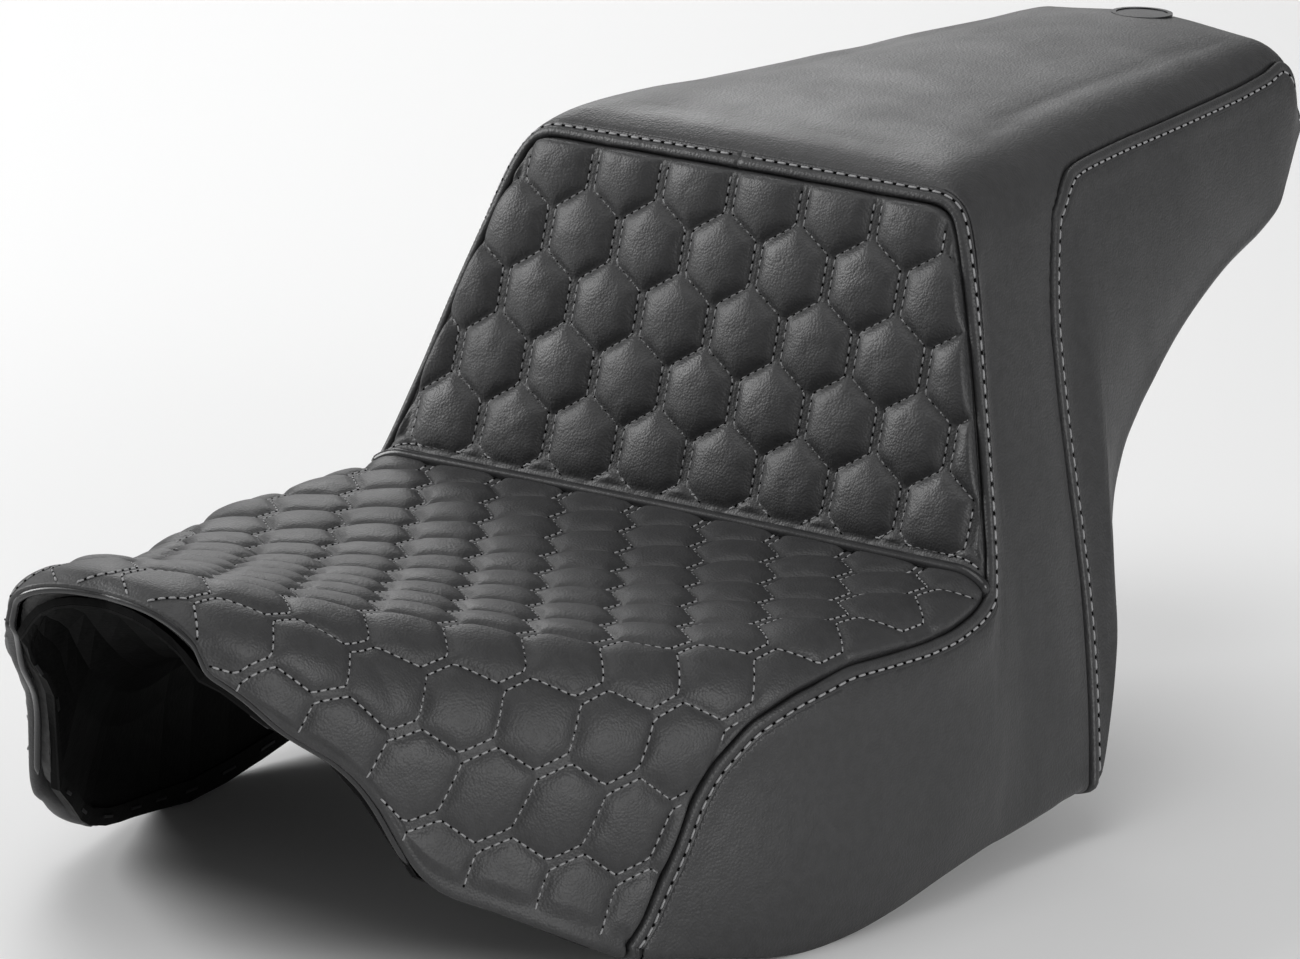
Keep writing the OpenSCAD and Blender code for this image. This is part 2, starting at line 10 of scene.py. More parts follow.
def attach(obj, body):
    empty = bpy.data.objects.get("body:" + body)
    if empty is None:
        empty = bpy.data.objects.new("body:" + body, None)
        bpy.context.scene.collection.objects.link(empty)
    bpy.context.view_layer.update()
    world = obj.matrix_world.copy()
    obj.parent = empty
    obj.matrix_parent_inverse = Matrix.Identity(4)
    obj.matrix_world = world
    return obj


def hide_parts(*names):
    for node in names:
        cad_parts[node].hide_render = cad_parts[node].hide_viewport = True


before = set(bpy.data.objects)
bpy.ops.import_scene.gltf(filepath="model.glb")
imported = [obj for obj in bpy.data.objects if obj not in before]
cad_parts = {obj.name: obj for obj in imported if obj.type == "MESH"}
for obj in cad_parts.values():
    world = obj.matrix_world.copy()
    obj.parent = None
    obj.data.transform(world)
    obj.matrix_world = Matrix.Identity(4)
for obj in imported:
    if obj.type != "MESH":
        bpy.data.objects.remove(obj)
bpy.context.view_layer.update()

BODY = "seat"
MM = 0.001

# ------------------------------------------------------------------ the seat's surface, in millimetres
# One station per line, nose to tail, the same as the part's own: crown y, z | shoulder corner x, y, z |
# lower edge x, y, z | rounding | flank bulge | pan crown y, z
STATIONS = np.array([
    [-372, 178, 44, -375, 178, 54, -370, 154, 40, 0, -370, 173],
    [-365, 182, 54, -365, 181, 66, -355, 139, 46, 0, -364, 172],
    [-353, 181.5, 61, -352, 180, 75, -340, 125, 50, 0, -352, 169],
    [-337, 179, 69, -336, 175, 84, -326, 113, 50, 0, -337, 163],
    [-317, 172, 79, -316, 168, 93, -314, 96, 50, 0, -317, 152],
    [-295, 165, 90, -295, 160, 106, -298, 63, 50, -1, -295, 140],
    [-271, 158, 104, -270, 153, 122, -273, 47.5, 50, -2, -271, 126],
    [-245, 151, 118, -245, 147, 141, -245, 32, 50, -3, -245, 113],
    [-219, 145, 135, -219, 140, 151, -219, 19, 48, -1, -219, 102],
    [-191, 139, 150, -191, 134, 160, -191, 11, 44, 2, -191, 94],
    [-164, 135, 163, -164, 130, 167, -166, 5, 38, 4, -164, 89],
    [-134, 131, 172, -134, 128, 172, -139, 0.5, 34, 5, -134, 86],
    [-104, 129, 177, -104, 128, 175, -109, 1, 32, 6, -104, 86],
    [-69, 127, 178, -69, 126, 177, -80, 5, 30, 6, -69, 86],
    [-34, 127, 177, -35, 126, 178, -50, 11, 28, 6, -34, 86],
    [-5, 127, 174, -7, 126, 178, -27, 15, 24, 5, -5, 86],
    [4, 136, 168, 4, 136, 178, -16, 17, 22, 5, 4, 86],
    [15, 174, 155, 17, 174, 178, -6, 18.5, 22, 5, 15, 86],
    [25, 211, 143, 27, 211, 178, 3, 20, 22, 5, 25, 86],
    [35, 246, 131, 37, 246, 178, 12, 21.5, 22, 5, 35, 86],
    [43, 272, 123, 45, 271, 178, 22, 23, 22, 5, 43, 86],
    [52, 282, 119, 55, 280, 177.5, 32, 24, 24, 5, 52, 91],
    [67, 286, 115, 71, 284, 177, 42, 25.4, 26, 5, 67, 100],
    [97, 287, 111, 101, 285, 176.5, 55, 26.6, 28, 4, 97, 124],
    [127, 287, 106, 128, 284, 175.9, 70, 30, 28, 3, 127, 152],
    [147, 287, 103, 143, 284, 166.5, 93, 77, 28, 2, 147, 170],
    [167, 287, 100, 160, 284, 150.5, 111.5, 125, 28, 1, 167, 186],
    [187, 287, 97, 180, 284, 138, 136, 148, 28, 0, 187, 200],
    [209, 287, 94, 203, 284, 127.5, 163, 161, 28, 0, 209, 211],
    [233, 287, 90, 229, 283, 119.5, 188, 171, 27, 0, 233, 220],
    [259, 287, 87, 259, 283, 111, 217, 182, 26, 0, 259, 227],
    [285, 287, 83, 285, 283, 103, 247.5, 191.6, 26, 0, 285, 232],
    [313, 287, 80, 312, 282, 95, 281, 200, 25, 0, 313, 236],
    [339, 287, 77, 337, 282, 88, 316, 207, 24, 0, 339, 236],
    [358, 285, 76, 353, 280, 84, 335, 213, 22, 0, 351, 236],
    [367, 278, 76, 361, 272, 81.5, 344, 221.5, 18, 0, 358, 237],
    [371, 264, 75, 364, 258, 79, 352.5, 231, 14, 0, 362, 239],
    [373, 250, 74, 367, 247, 76, 362, 240, 10, 0, 364, 241]
], float)
LAST = len(STATIONS) - 1
LOW_U = 7.8             # station where the quilt seam meets the lower edge
WELT_U = 15.45          # station of the piping between the rider panel and the backrest panel
TOP_U = 20.0            # station of the backrest panel's upper edge
TAIL_END = LAST - 0.02  # stations beyond this belong to the tail's own edge
ORIGIN_Y, ORIGIN_Z = 21, 196     # the point the honeycomb was measured from in the photograph


def station(u):
    """The stations' row of numbers at u, by a cubic through them."""
    c = np.clip(u, 0, LAST)
    i = np.minimum(c.astype(int), LAST - 1)
    f = (c - i)[..., None]
    a, b = STATIONS[np.maximum(i - 1, 0)], STATIONS[i]
    d, e = STATIONS[i + 1], STATIONS[np.minimum(i + 2, LAST)]
    return (b * (2 * f**3 - 3 * f * f + 1) + (d - a) / 2 * (f**3 - 2 * f * f + f)
            + d * (3 * f * f - 2 * f**3) + (e - b) / 2 * (f**3 - f * f))


def section(a, k, c, f, b, t):
    """A point of the section with crown a, shoulder corner k, lower edge c, rounding f and flank bulge b.

    t runs over the crown (0-1), the rounded shoulder (1-2) and the flank down to the lower edge (2-3).
    """
    q = np.abs(t)[..., None]
    la = np.linalg.norm(k - a, axis=-1, keepdims=True)
    lc = np.linalg.norm(c - k, axis=-1, keepdims=True)
    ka = k + (a - k) * np.minimum(f, 0.8 * la) / la
    kc = k + (c - k) * np.minimum(1.1 * f, 0.6 * lc) / lc
    g = np.clip(q, 0, 1)
    ease = g * g * (2 - g)
    crown = a + (ka - a) * np.concatenate([g, ease, ease], -1)
    r = np.clip(q - 1, 0, 1)
    k1, k2 = ka + (k - ka) * 0.6, kc + (k - kc) * 0.6
    shoulder = ka * (1 - r)**3 + k1 * 3 * (1 - r)**2 * r + k2 * 3 * (1 - r) * r * r + kc * r**3
    s = q - 2
    flank = kc + (c - kc) * s + np.concatenate([6.75 * b * s * s * (1 - s), 0 * b, 0 * b], -1)
    p = np.where(q <= 1, crown, np.where(q <= 2, shoulder, flank))
    p[..., 0] *= np.where(t < 0, -1, 1)
    return p


def skin(u, t):
    """The covers' nominal surface; t below 0 is the right side."""
    u, t = np.broadcast_arrays(np.asarray(u, float), np.asarray(t, float))
    s = station(u)
    a = np.stack([0 * u, s[..., 0], s[..., 1]], -1)
    return section(a, s[..., 2:5], s[..., 5:8], s[..., 8:9], s[..., 9:10], t)


def partials(u, t):
    """How skin changes with u and with t."""
    e = 0.01
    c = np.clip(u, e, LAST - e)
    return (skin(c + e, t) - skin(c - e, t)) / (2 * e), (skin(c, t + e) - skin(c, t - e)) / (2 * e)


def unit(v):
    """Vectors scaled to length 1."""
    return v / np.maximum(np.linalg.norm(v, axis=-1, keepdims=True), 1e-9)


def normal(u, t):
    """Outward from the skin; taken a little inside the lower edge, where it is steadier."""
    du, dt = partials(u, np.clip(t, -2.9, 2.9))
    return unit(np.cross(dt, du))


def pan(u, t):
    """The base pan's upper face, hung below the cover."""
    u, t = np.broadcast_arrays(np.asarray(u, float), np.asarray(t, float))
    s = station(u)
    kx, ky, kz, cx, cy, cz, rounding = (s[..., i] for i in range(2, 9))
    crown_y, crown_z = s[..., 10], s[..., 11]
    f = np.clip((kz - crown_z) / (kz - cz), 0, 1)
    inset = 12 + np.maximum(rounding - 28, 0) * 0.35
    back = np.maximum(u - 33, 0) * 2.25
    k = np.stack([kx + (cx - kx) * f - inset, ky + (cy - ky) * f - back, crown_z], -1)
    depth = np.interp(u, [0, 2], [5, 9])[..., None]
    edge = np.full_like(u, 3.0)
    c = skin(u, edge) - normal(u, edge) * depth - np.array([0, 0, 2.1])
    a = np.stack([0 * u, crown_y, crown_z], -1)
    return section(a, k, c, rounding[..., None] * 0.8, np.zeros_like(a[..., :1]), t)


PER_U, PER_T = 8, 100     # samples of the girth table for one unit of u and of t
GIRTH_U = np.linspace(0, LAST, LAST * PER_U + 1)
GIRTH_T = np.linspace(0, 3, 3 * PER_T + 1)
GIRTH_STEPS = np.linalg.norm(np.diff(skin(GIRTH_U[:, None], GIRTH_T[None, :]), axis=1), axis=-1)
GIRTH = np.concatenate([np.zeros((len(GIRTH_U), 1)), np.cumsum(GIRTH_STEPS, axis=1)], 1)


def girth_row(u):
    """The girths at GIRTH_T of the sections at u."""
    v = np.clip(u, 0, LAST) * PER_U
    i = np.minimum(v.astype(int), len(GIRTH_U) - 2)
    f = (v - i)[..., None]
    return GIRTH[i] * (1 - f) + GIRTH[i + 1] * f


def girth(u, t):
    """Distance from the centreline round the section."""
    u, t = np.broadcast_arrays(np.asarray(u, float), np.asarray(t, float))
    v = np.clip(u, 0, LAST) * PER_U
    i = np.minimum(v.astype(int), len(GIRTH_U) - 2)
    w = np.clip(np.abs(t), 0, 3) * PER_T
    j = np.minimum(w.astype(int), len(GIRTH_T) - 2)
    fu, ft = v - i, w - j
    g = ((GIRTH[i, j] * (1 - ft) + GIRTH[i, j + 1] * ft) * (1 - fu)
         + (GIRTH[i + 1, j] * (1 - ft) + GIRTH[i + 1, j + 1] * ft) * fu)
    return g * np.where(t < 0, -1, 1)


def t_at(u, s):
    """The section parameter at girth s."""
    row = girth_row(u)
    j = np.clip((row < np.abs(s)[:, None]).sum(1) - 1, 0, len(GIRTH_T) - 2)
    n = np.arange(len(u))
    a, b = row[n, j], row[n, j + 1]
    return (j + (np.abs(s) - a) / np.maximum(b - a, 1e-6)) / PER_T * np.where(s < 0, -1, 1)


# ------------------------------------------------------------------ seams
# (station, section parameter) along each seam
RIDER_SEAM = [(7.8, 3), (7.85, 2.97), (8.1, 2.85), (8.4, 2.6), (8.66, 2.42), (9.0, 2.16), (9.34, 2),
              (10.1, 1.8), (10.93, 1.67), (12, 1.58), (12.93, 1.58), (13.5, 1.6), (14.08, 1.6),
              (14.92, 1.5), (15.45, 1.48)]
BACK_SEAM = [(15.45, 1.48), (17, 1.47), (18.4, 1.47), (19.05, 1.44), (19.5, 1.40), (19.75, 1.36),
             (19.9, 1.32), (19.97, 1.28), (20, 1.2)]
GROOVE = [(23.47, 3), (23.5, 2.77), (23.5, 2.67), (23.39, 2.56), (23.27, 2.35), (23.31, 2.18),
          (23.53, 2.08), (23.74, 2.01), (24.34, 1.81), (25.0, 1.71), (25.6, 1.685), (28, 1.67), (31, 1.68),
          (33, 1.62), (34, 1.5), (37, 1.4)]
CORNER_T = 1.712        # where the groove turns from across the seat to along it


def lengths(p):
    """Distance along a path of points, from its first."""
    return np.concatenate([[0], np.cumsum(np.linalg.norm(np.diff(p, axis=0), axis=1))])


def smooth_path(points):
    """Dense (u, t) samples of a seam, its corners rounded a little."""
    p = np.array(points, float)
    d = lengths(p * [1, 1.5])
    q = np.linspace(0, d[-1], int(d[-1] / 0.02))
    u, t = np.interp(q, d, p[:, 0]), np.interp(q, d, p[:, 1])
    for _ in range(60):
        u[1:-1] = (u[:-2] + 2 * u[1:-1] + u[2:]) / 4
        t[1:-1] = (t[:-2] + 2 * t[1:-1] + t[2:]) / 4
    return u, t


def respace(u, t, step):
    """Samples a (u, t) path at even steps along the surface."""
    d = lengths(skin(u, t))
    n = max(int(round(d[-1] / step)), 2)
    q = np.linspace(0, d[-1], n + 1)
    return np.interp(q, d, u), np.interp(q, d, t)


def inner_line():
    """The quilt's outline from the skirt's lower edge up to the top centre."""
    pts = RIDER_SEAM + BACK_SEAM[1:] + [(20, 0.6), (20, 0)]
    return respace(*smooth_path(pts), 1.0)


INNER_U, INNER_T = inner_line()
GROOVE_U, GROOVE_T = respace(*smooth_path(GROOVE), 1.0)
BELOW_TOP = INNER_U < TOP_U - 1e-3


def half_width(u):
    """Section parameter of the quilt's edge at a station."""
    return np.interp(u, INNER_U[BELOW_TOP], INNER_T[BELOW_TOP])


class Line:
    """Distance on the seat to a seam, mirrored left to right."""
    def __init__(self, u, t):
        uu, tt = respace(u, t, 0.25)
        self.pts = skin(uu, tt)
        self.tree = KDTree(len(self.pts))
        for i, p in enumerate(self.pts):
            self.tree.insert(p, i)
        self.tree.balance()

    def dist(self, p):
        q = p.reshape(-1, 3).copy()
        q[:, 0] = np.abs(q[:, 0])
        find = self.tree.find
        return np.array([find(v)[2] for v in q.tolist()]).reshape(p.shape[:-1])


INNER = Line(INNER_U, INNER_T)
GROOVE_LINE = Line(GROOVE_U, GROOVE_T)
WELT = Line(np.full(160, WELT_U), np.linspace(0, 1.48, 160))


def in_quilt(u, t):
    """Inside the outline of the two quilted panels?"""
    return (u < TOP_U) & (np.abs(t) < half_width(u))


ACROSS = GROOVE_T >= CORNER_T
RISING = np.argsort(GROOVE_T[ACROSS])


def in_side(u, t):
    """Below the groove, on a side cover?"""
    q = np.abs(t)
    low = u > np.interp(q, GROOVE_T[ACROSS][RISING], GROOVE_U[ACROSS][RISING])
    high = (u > 24.9) & (q > np.interp(u, GROOVE_U[~ACROSS], GROOVE_T[~ACROSS]))
    return np.where(q >= CORNER_T, low, high)


def shift(u, t, away, dist):
    """Moves (u, t) points along the surface by dist, in the direction of the 3-D vectors away."""
    steps = max(int(abs(dist) / 2.5), 1)
    for _ in range(steps):
        p = skin(u, t)
        n = normal(u, t)
        e = unit(away - n * (away * n).sum(-1, keepdims=True))
        goal = p + e * dist / steps
        for _ in range(3):
            r = goal - skin(u, t)
            su, st = partials(u, t)
            a, b, c = (su * su).sum(-1), (su * st).sum(-1), (st * st).sum(-1)
            x, y = (su * r).sum(-1), (st * r).sum(-1)
            det = np.maximum(a * c - b * b, 1e-6)
            u = np.clip(u + (c * x - b * y) / det, 0, LAST)
            t = np.clip(t + (a * y - b * x) / det, -3, 3)
    return u, t


# ------------------------------------------------------------------ quilting
CELL = 19.0           # half the honeycomb pitch across
RIDER_ROW, BACK_ROW = 27.3, 29.5
RIDER_LEG, BACK_LEG = 7.65, 10.0    # half length of the double-stitched sides
PAIR = 2.1            # half the gap between the two rows of a double stitch
RIDGE = 0.6           # height of the ridge between those two rows
NEAREST = 0.02        # least distance to a stitch line, so that its inverse stays finite
TUCK = 2.0            # how far a cover edge dives into its seam
BACK_FLAT = 5.5       # distance from the piping to the stitched line above it
RIDER_DEPTH, BACK_DEPTH = 5.6, 9.0  # height that a very wide cell would puff to
RIDER_SPREAD, BACK_SPREAD = 4.8, 6.8    # distance from the stitches over which it rises
HASH = (73856093, 19349663, 83492791, 1274126177, 20011)    # primes of the noise
RIDER_START = -22     # y of the rider honeycomb's first row, from ORIGIN_Y
LEAN = math.radians(15.15)          # of the backrest panel, from upright
BACK_BOW = 1.15e-4    # how the backrest rows curve


def row_drift(s, y):
    """How far the rider rows stray from even spacing, in rows, fitted to the photograph."""
    a, b = s / 100, (y + 150) / 100
    return (-0.105 - 0.058 * b - 0.002 * b * b
            + 0.018 * a * a + 0.013 * a * a * b + 0.024 * a * a * b * b)


def rider_lattice(u, t):
    """Honeycomb coordinates on the rider panel: across, then along from row to row."""
    s, y = girth(u, t), skin(u, t)[..., 1] - ORIGIN_Y
    return s, RIDER_START - y + row_drift(s, y) * RIDER_ROW


def back_lattice(u, t):
    """Honeycomb coordinates on the backrest; cells are centred where the sum of the indices is even."""
    s = girth(u, t)
    w = (skin(u, t)[..., 2] - ORIGIN_Z) / math.cos(LEAN) + BACK_BOW * s * s - BACK_LEG
    return s, w + BACK_ROW


def cell_edges(x, y, row, leg):
    """Distances inside the nearest cell: to its two double-stitched sides, then to its four zigzags."""
    rise, run = row - 2 * leg, CELL - 2 * PAIR
    length = math.hypot(rise, run)
    best = None
    for k in (0, 1):
        n = np.floor(y / row) + k
        odd = np.mod(n, 2)
        h = 2 * np.round((x / CELL - odd) / 2) + odd
        dx, dy = x - h * CELL, y - n * row
        reach = (CELL - PAIR) * rise + leg * run
        zig = [(reach + sx * rise * dx + sy * run * dy) / length for sx in (-1, 1) for sy in (-1, 1)]
        d = np.stack([CELL - PAIR - dx, CELL - PAIR + dx] + zig, -1)
        inside = np.minimum(d[..., :2].min(-1) + PAIR, d[..., 2:].min(-1))
        if best is None:
            best, keep = d, inside
        else:
            best = np.where((inside > keep)[..., None], d, best)
    return best


def puff(d, height, reach, extra):
    """Height of the padding over a cell; a narrow ridge between the two rows of a double stitch."""
    total = (np.maximum(d, NEAREST)**-2.0).sum(-1)
    for e in extra:
        total = total + np.maximum(e, NEAREST)**-2.0
    side = d[..., :2].min(-1)
    ridge = RIDGE * (1 - np.clip((side + PAIR) / PAIR, -1, 1)**2)
    return np.where(side < 0, ridge, height * (1 - np.exp(-total**-0.5 / reach)))


def grid_faces(r, c):
    """The quads of a grid of r rows and c columns of points."""
    i, j = np.meshgrid(np.arange(r - 1), np.arange(c - 1), indexing="ij")
    a = (i * c + j).ravel()
    return np.stack([a, a + 1, a + c + 1, a + c], -1)


def ramp(x, a, b):
    """0 up to a, 1 from b, smooth between."""
    q = np.clip((x - a) / (b - a), 0, 1)
    return q * q * (3 - 2 * q)


def noise(p, scale, seed):
    """Cheap smooth value noise in 3-D, -1 to 1."""
    q = p / scale + seed * 17.3
    i = np.floor(q).astype(np.int64)
    f = q - i
    f = f * f * (3 - 2 * f)
    out = 0
    for dx in (0, 1):
        for dy in (0, 1):
            for dz in (0, 1):
                k = (i[..., 0] + dx) * HASH[0] ^ (i[..., 1] + dy) * HASH[1] ^ (i[..., 2] + dz) * HASH[2]
                k = (k ^ (k >> 13)) * HASH[3] & 0x7FFFFFFF
                v = k % HASH[4] / (HASH[4] / 2) - 1
                w = ((f[..., 0] if dx else 1 - f[..., 0]) * (f[..., 1] if dy else 1 - f[..., 1])
                     * (f[..., 2] if dz else 1 - f[..., 2]))
                out = out + v * w
    return out


def rider_height(u, t, p):
    """How far the rider panel stands off the skin at p."""
    x, y = rider_lattice(u, t)
    d = cell_edges(x, y, RIDER_ROW, RIDER_LEG)
    seam, welt = INNER.dist(p), WELT.dist(p)
    nose = np.linalg.norm(p - skin(np.zeros_like(u), t), axis=-1)
    rim = np.minimum(u * 12 + 0.5, np.where(u < LOW_U, (3 - np.abs(t)) * 60 + 0.8, 99))
    depth = RIDER_DEPTH - 1.2 * ramp(np.abs(girth(u, t)), 95, 140) - 1.3 * (1 - ramp(u, 3, 8))
    h = puff(d, depth, RIDER_SPREAD, [seam * 2 + 3, welt * 1.2])
    h = h + 0.16 * noise(p, 6.0, 1) * ramp(d.min(-1), 0, 4)
    fade = ramp(seam, 0, 2.8) * ramp(rim, 0, 10) * (0.16 + 0.84 * ramp(nose, 5, 46))
    return h * fade - TUCK * (1 - ramp(seam, 0, 1.9)) - 1.2 * (1 - ramp(welt, 0, 3.5))


def back_height(u, t, p):
    """How far the backrest panel stands off the skin at p."""
    x, y = back_lattice(u, t)
    d = cell_edges(x, y, BACK_ROW, BACK_LEG)
    seam, welt = INNER.dist(p), WELT.dist(p)
    h = puff(d, BACK_DEPTH, BACK_SPREAD, [np.abs(welt - BACK_FLAT), seam * 2 + 3])
    h = h + 0.22 * noise(p, 5.5, 2) * ramp(d.min(-1), 0, 4)
    return np.where(welt < BACK_FLAT, 0.4, 1) * h * ramp(seam, 0, 2.8) - TUCK * (1 - ramp(seam, 0, 1.9))


# The folded edge of a smooth cover beside its seam: distance from the seam and height, over the stitch line
ROLL_D = np.array([0, 0.2, 0.5, 1.0, 1.7, 2.7, 3.6, 4.4, 5.0, 5.5, 6.0, 6.6, 7.3, 7.8])
ROLL_H = np.array([-2.0, -0.5, 0.3, 0.8, 1.1, 1.15, 0.95, 0.45, 0.0, -0.2, 0.0, 0.25, 0.34, -0.6])
ROLL_END = 7.2        # where the cover's main sheet takes over from the fold
STITCH_AT = 5.5       # the topstitch, in the dip of ROLL_H

SWELL_U, SWELL_T = np.linspace(LOW_U, LAST, 89), np.linspace(-3, 3, 73)
SWELL_FRAMES, PRESSURE, SWELL_HOLD = 20, 4, 10    # frames, the foam's push, and how far a seam holds a cover
SWELL_CAP = 2.2       # how far the simulated pressure may move a cover, in millimetres


def swell_field():
    """A cloth simulation of the smooth covers, held along their seams and edges and pushed out by the foam.

    Returns how far each point of a coarse grid over the seat moves along its normal, in millimetres.
    """
    U, T = np.meshgrid(SWELL_U, SWELL_T, indexing="ij")
    P, N = skin(U, T), normal(U, T)
    near_seam = np.minimum(INNER.dist(P), GROOVE_LINE.dist(P)) < SWELL_HOLD
    held = near_seam | in_quilt(U, T) | (np.abs(T) > 2.9) | (U > LAST - 0.4)
    me = bpy.data.meshes.new("cloth_pass")
    me.from_pydata((P.reshape(-1, 3) * MM).tolist(), [], grid_faces(*U.shape).tolist())
    obj = bpy.data.objects.new("cloth_pass", me)
    bpy.context.scene.collection.objects.link(obj)
    pin = obj.vertex_groups.new(name="held")
    pin.add([int(i) for i in np.nonzero(held.ravel())[0]], 1.0, "REPLACE")
    cloth = obj.modifiers.new("cloth", "CLOTH")
    cloth.settings.quality = 6
    cloth.settings.vertex_group_mass = "held"
    cloth.settings.tension_stiffness = cloth.settings.compression_stiffness = 12
    cloth.settings.bending_stiffness = 4
    cloth.settings.use_pressure = True
    cloth.settings.uniform_pressure_force = PRESSURE
    cloth.settings.effector_weights.gravity = 0
    cloth.point_cache.frame_end = SWELL_FRAMES
    for f in range(1, SWELL_FRAMES + 1):
        bpy.context.scene.frame_set(f)
    done = obj.evaluated_get(bpy.context.evaluated_depsgraph_get()).to_mesh()
    co = np.empty(len(done.vertices) * 3)
    done.vertices.foreach_get("co", co)
    out = ((co.reshape(P.shape) / MM - P) * N).sum(-1)
    bpy.data.objects.remove(obj)
    bpy.data.meshes.remove(me)
    bpy.context.scene.frame_set(1)
    out = (out + out[:, ::-1]) / 2
    return SWELL_CAP * np.tanh(np.maximum(out, 0) / SWELL_CAP)


SWELL = swell_field()


def swell(u, t):
    """SWELL between its grid points."""
    x = np.clip((u - LOW_U) / (LAST - LOW_U), 0, 1) * (len(SWELL_U) - 1)
    y = np.clip((t + 3) / 6, 0, 1) * (len(SWELL_T) - 1)
    i, j = np.minimum(x.astype(int), len(SWELL_U) - 2), np.minimum(y.astype(int), len(SWELL_T) - 2)
    fx, fy = x - i, y - j
    return ((SWELL[i, j] * (1 - fy) + SWELL[i, j + 1] * fy) * (1 - fx)
            + (SWELL[i + 1, j] * (1 - fy) + SWELL[i + 1, j + 1] * fy) * fx)


def wrap_height(u, t, p):
    """How far the wrap cover stands off the skin at p."""
    seam, groove = INNER.dist(p), GROOVE_LINE.dist(p)
    roll = 0.35 * (1 - ramp(seam, 7.6, 16))
    soft = 0.22 * noise(p, 60, 3) + 0.06 * noise(p, 17, 4)
    return (roll + swell(u, t) * ramp(seam, 7, 14) + soft * ramp(seam, 7, 20) * ramp(groove, 3, 16)
            - TUCK * (1 - ramp(groove, 0, 2.4)))


def side_height(u, t, p):
    """How far a side cover stands off the skin at p."""
    groove = GROOVE_LINE.dist(p)
    roll = 0.35 * (1 - ramp(groove, 7.6, 16))
    soft = 0.3 * noise(p, 50, 5) + 0.08 * noise(p, 16, 6)
    return roll + swell(u, t) * ramp(groove, 7, 14) + soft * ramp(groove, 7, 20)


# ------------------------------------------------------------------ meshes
def clip(U, T, faces, phi):
    """Keeps the part of a quad mesh where phi is 0 or more, cutting its faces on the zero line."""
    U, T, phi = list(U), list(T), list(phi)
    cut = {}

    def cross(a, b):
        key = (a, b) if a < b else (b, a)
        if key not in cut:
            f = phi[a] / (phi[a] - phi[b])
            U.append(U[a] + (U[b] - U[a]) * f)
            T.append(T[a] + (T[b] - T[a]) * f)
            phi.append(0.0)
            cut[key] = len(U) - 1
        return cut[key]

    sign = np.array(phi)[faces] >= 0
    keep = [list(f) for f in faces[sign.all(1)]]
    for f in faces[sign.any(1) & ~sign.all(1)]:
        for tri in ((f[0], f[1], f[2]), (f[0], f[2], f[3])):
            poly = []
            for k in range(3):
                a, b = int(tri[k]), int(tri[(k + 1) % 3])
                if phi[a] >= 0:
                    poly.append(a)
                if (phi[a] >= 0) != (phi[b] >= 0):
                    poly.append(cross(a, b))
            if len(poly) >= 3:
                keep.append(poly)
    return np.array(U), np.array(T), keep


def even_rows(u0, u1, step, t_probe):
    """Station numbers at most step apart along each of the lines t_probe."""
    u = np.linspace(u0, u1, 1200)
    steps = [np.linalg.norm(np.diff(skin(u, np.full_like(u, t)), axis=0), axis=1) for t in t_probe]
    d = np.concatenate([[0], np.cumsum(np.max(steps, 0))])
    return np.interp(np.linspace(0, d[-1], max(int(d[-1] / step), 3)), d, u)


def panel_grid(u, edge_t, columns):
    """Rows at u, columns at even girth between the mirrored edges."""
    s = girth(u, edge_t)
    frac = np.linspace(-1, 1, columns)
    U = np.repeat(u[:, None], columns, 1)
    S = s[:, None] * frac[None, :]
    return U, t_at(U.ravel(), S.ravel()).reshape(U.shape)


def mesh_object(name, verts_mm, faces, material):
    """A smooth-shaded object from points in millimetres, without those that no face uses."""
    used = np.unique(np.concatenate([np.asarray(f, int) for f in faces]))
    remap = np.full(len(verts_mm), -1)
    remap[used] = np.arange(len(used))
    me = bpy.data.meshes.new(name)
    verts = (np.asarray(verts_mm)[used] * MM).tolist()
    me.from_pydata(verts, [], [[int(remap[v]) for v in f] for f in faces])
    me.validate()
    me.polygons.foreach_set("use_smooth", [True] * len(me.polygons))
    me.materials.append(material)
    me.update()
    obj = bpy.data.objects.new(name, me)
    bpy.context.scene.collection.objects.link(obj)
    return obj


# A turned edge as (past the edge, below the skin) at each step round it; a short list stays at its last step
EDGE_ROLL = [(0.7, 0.25), (1.4, 1.3), (1.9, 3.5), (2.1, 7), (1.9, 10), (1.2, 12.2), (0, 13.2), (-3, 13.4)]
WIDEST = 2.1
NOSE_ROLL = [(0.5, 0.3), (0.8, 1.2), (0.6, 2.6), (0.0, 4.2)]
SEAM_WALL = [(0, 1.2), (0, 2.6)]


def edge_reach(u, n):
    """How far the turned edge reaches past the cover's lower edge, to hide the hem on the pan."""
    return np.clip(3.4 + 9 * n[..., 2], 0.9, 7.0) * (0.25 + 0.75 * ramp(u, 0.4, 1.6))


def open_edges(faces):
    """The directed edges that only one face has."""
    count = {}
    for f in faces:
        for k in range(len(f)):
            a, b = int(f[k]), int(f[(k + 1) % len(f)])
            key = (min(a, b), max(a, b))
            count[key] = None if key in count else (a, b)
    return [e for e in count.values() if e]


